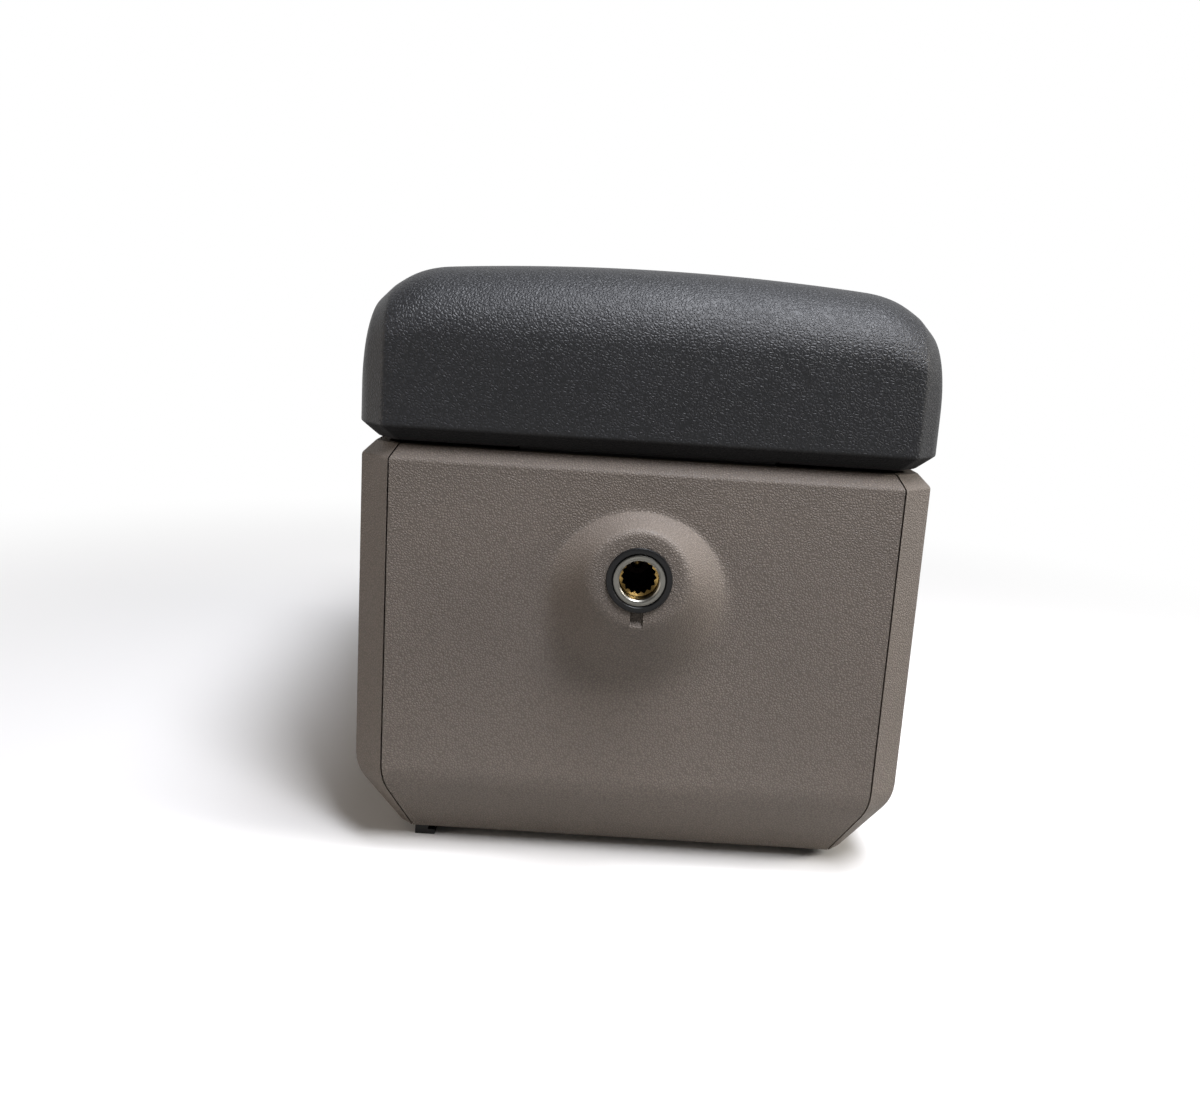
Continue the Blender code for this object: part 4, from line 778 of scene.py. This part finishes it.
# %% Paper sweep
PAPER_SIZE = (9, 6)
PAPER_RISE = 4
PAPER_CURVE = 1.5
bpy.ops.mesh.primitive_plane_add(size=1, location=(0, 0, 0))
sweep = bpy.context.object
sweep.name = "paper_sweep"
sweep.scale = (*PAPER_SIZE, 1)
bpy.ops.object.transform_apply(location=True, rotation=True, scale=True)
far_line = PAPER_SIZE[1] / 2 - 0.1
select_edges(sweep, lambda a, b: min(a.y, b.y) > far_line)
bpy.ops.mesh.extrude_region_move(TRANSFORM_OT_translate={"value": (0, 0, PAPER_RISE)})
bpy.ops.object.mode_set(mode="OBJECT")
apply_modifier(sweep, "BEVEL", width=PAPER_CURVE, segments=24, limit_method="ANGLE")
bpy.ops.object.shade_smooth()
print("paper faces:", len(sweep.data.polygons))

# %% [markdown]
# The paper's material asks what kind of ray has met it. The camera sees pale paper near the object
# and plain white further off. Reflections see that white too, but a duller paper near the object.
# Light that bounces to the object meets the duller paper, and a dark one further off.

# %% Paper that is pale to the camera
paper, tree, shader = new_material("pale paper")
shader.inputs["Roughness"].default_value = 0.9
shader.inputs["Specular IOR Level"].default_value = 0.1
rays = add_node(tree, "ShaderNodeLightPath").outputs
direct = {0: rays["Is Camera Ray"], 1: rays["Is Glossy Ray"]}
seen = add_node(tree, "ShaderNodeMath", direct, operation="MAXIMUM")
direct = {0: seen.outputs[0], 1: rays["Is Transmission Ray"]}
seen = add_node(tree, "ShaderNodeMath", direct, operation="MAXIMUM")
place = add_node(tree, "ShaderNodeTexCoord").outputs["Object"]
away = add_node(tree, "ShaderNodeVectorMath", {0: place}, operation="LENGTH").outputs["Value"]
around = add_node(tree, "ShaderNodeMapRange", {"Value": away, "From Min": 0.28, "From Max": 0.45})
bounced = {0: around.outputs[0], 6: tone("bcbab6"), 7: tone("5a5856")}
given = add_node(tree, "ShaderNodeMix", bounced, data_type="RGBA")
shown = {0: rays["Is Camera Ray"], 6: given.outputs[2], 7: tone("efeeec")}
sheet = add_node(tree, "ShaderNodeMix", shown, data_type="RGBA")
tree.links.new(sheet.outputs[2], shader.inputs["Base Color"])
far_range = {"Value": away, "From Min": 0.3, "From Max": 1.1}
far = add_node(tree, "ShaderNodeMapRange", far_range, interpolation_type="SMOOTHSTEP")
share = add_node(tree, "ShaderNodeMath", {0: seen.outputs[0], 1: far.outputs[0]}, operation="MULTIPLY")
white = add_node(tree, "ShaderNodeEmission", {"Color": (1, 1, 1, 1), "Strength": 1.0})
mixed = add_node(
    tree, "ShaderNodeMixShader", {0: share.outputs[0], 1: shader.outputs[0], 2: white.outputs[0]}
)
tree.links.new(mixed.outputs[0], tree.nodes["Material Output"].inputs["Surface"])
sweep.data.materials.append(paper)
print("nodes in the paper's material:", len(tree.nodes))

# %% [markdown]
# One large soft light hangs above and a second above the camera, which throws the boss's shadow
# down the panel. A third stands at the right, and a weak warm one at the left fills the shadows,
# as the photographed box was lit. The world adds a little light from all round, and the camera
# sees it as white.


# %% Lamps and world
def soft_light(name, place, aim, size, watts, colour):
    """A square lamp at a place, facing a point."""
    lamp = bpy.data.lights.new(name, "AREA")
    lamp.shape = "SQUARE"
    lamp.size = size
    lamp.energy = watts
    lamp.color = tone(colour)[:3]
    holder = bpy.data.objects.new(name, lamp)
    scene.collection.objects.link(holder)
    holder.location = place
    holder.rotation_euler = (Vector(aim) - Vector(place)).to_track_quat("-Z", "Y").to_euler()


LID_AIM = (0, -0.1, 0.2)
BOX_AIM = (0, -0.1, 0.15)
soft_light("light_above", (0.30, -0.34, 1.7), LID_AIM, 0.7, 25, "f4f7ff")
soft_light("light_key", (0.45, -0.95, 1.6), LID_AIM, 0.5, 21, "f8f9ff")
soft_light("light_right", (1.5, -0.40, 0.9), BOX_AIM, 0.6, 15, "fffaf2")
soft_light("light_left", (-1.5, -0.5, 0.5), BOX_AIM, 0.9, 6, "fff2e6")

world = bpy.data.worlds.new("studio")
scene.world = world
world.use_nodes = True
tree = world.node_tree
ambient = tree.nodes["Background"]
ambient.inputs["Color"].default_value = tone("fbf8f4")
ambient.inputs["Strength"].default_value = 0.12
rays = add_node(tree, "ShaderNodeLightPath").outputs
shown = add_node(tree, "ShaderNodeBackground", {"Color": (1, 1, 1, 1), "Strength": 1.0})
mixed = add_node(
    tree, "ShaderNodeMixShader", {0: rays["Is Camera Ray"], 1: ambient.outputs[0], 2: shown.outputs[0]}
)
tree.links.new(mixed.outputs[0], tree.nodes["World Output"].inputs["Surface"])

# %% [markdown]
# The camera's place, direction, roll and focal length come from fitting the photograph's seams and
# outlines to the solid's own sizes. The focal length is given in pixels of the frame's width.

# %% Camera
FRAME_WIDTH = 1200
FOCAL_PIXELS = 1150
SENSOR = 36
ROLL_DEGREES = 3.605
lens = bpy.data.cameras.new("camera")
lens.sensor_width = SENSOR
lens.lens = SENSOR * FOCAL_PIXELS / FRAME_WIDTH
camera = bpy.data.objects.new("camera", lens)
scene.collection.objects.link(camera)
look = Vector((0.00417, 0.97913, -0.20320))
turn = look.to_track_quat("-Z", "Y").to_matrix().to_4x4()
stand = Matrix.Translation((-25.6 * MM, -799 * MM, 313.8 * MM))
camera.matrix_world = stand @ turn @ Matrix.Rotation(radians(ROLL_DEGREES), 4, "Z")
scene.camera = camera
scene.view_settings.view_transform = "Standard"
print("lens, mm:", round(lens.lens, 1))
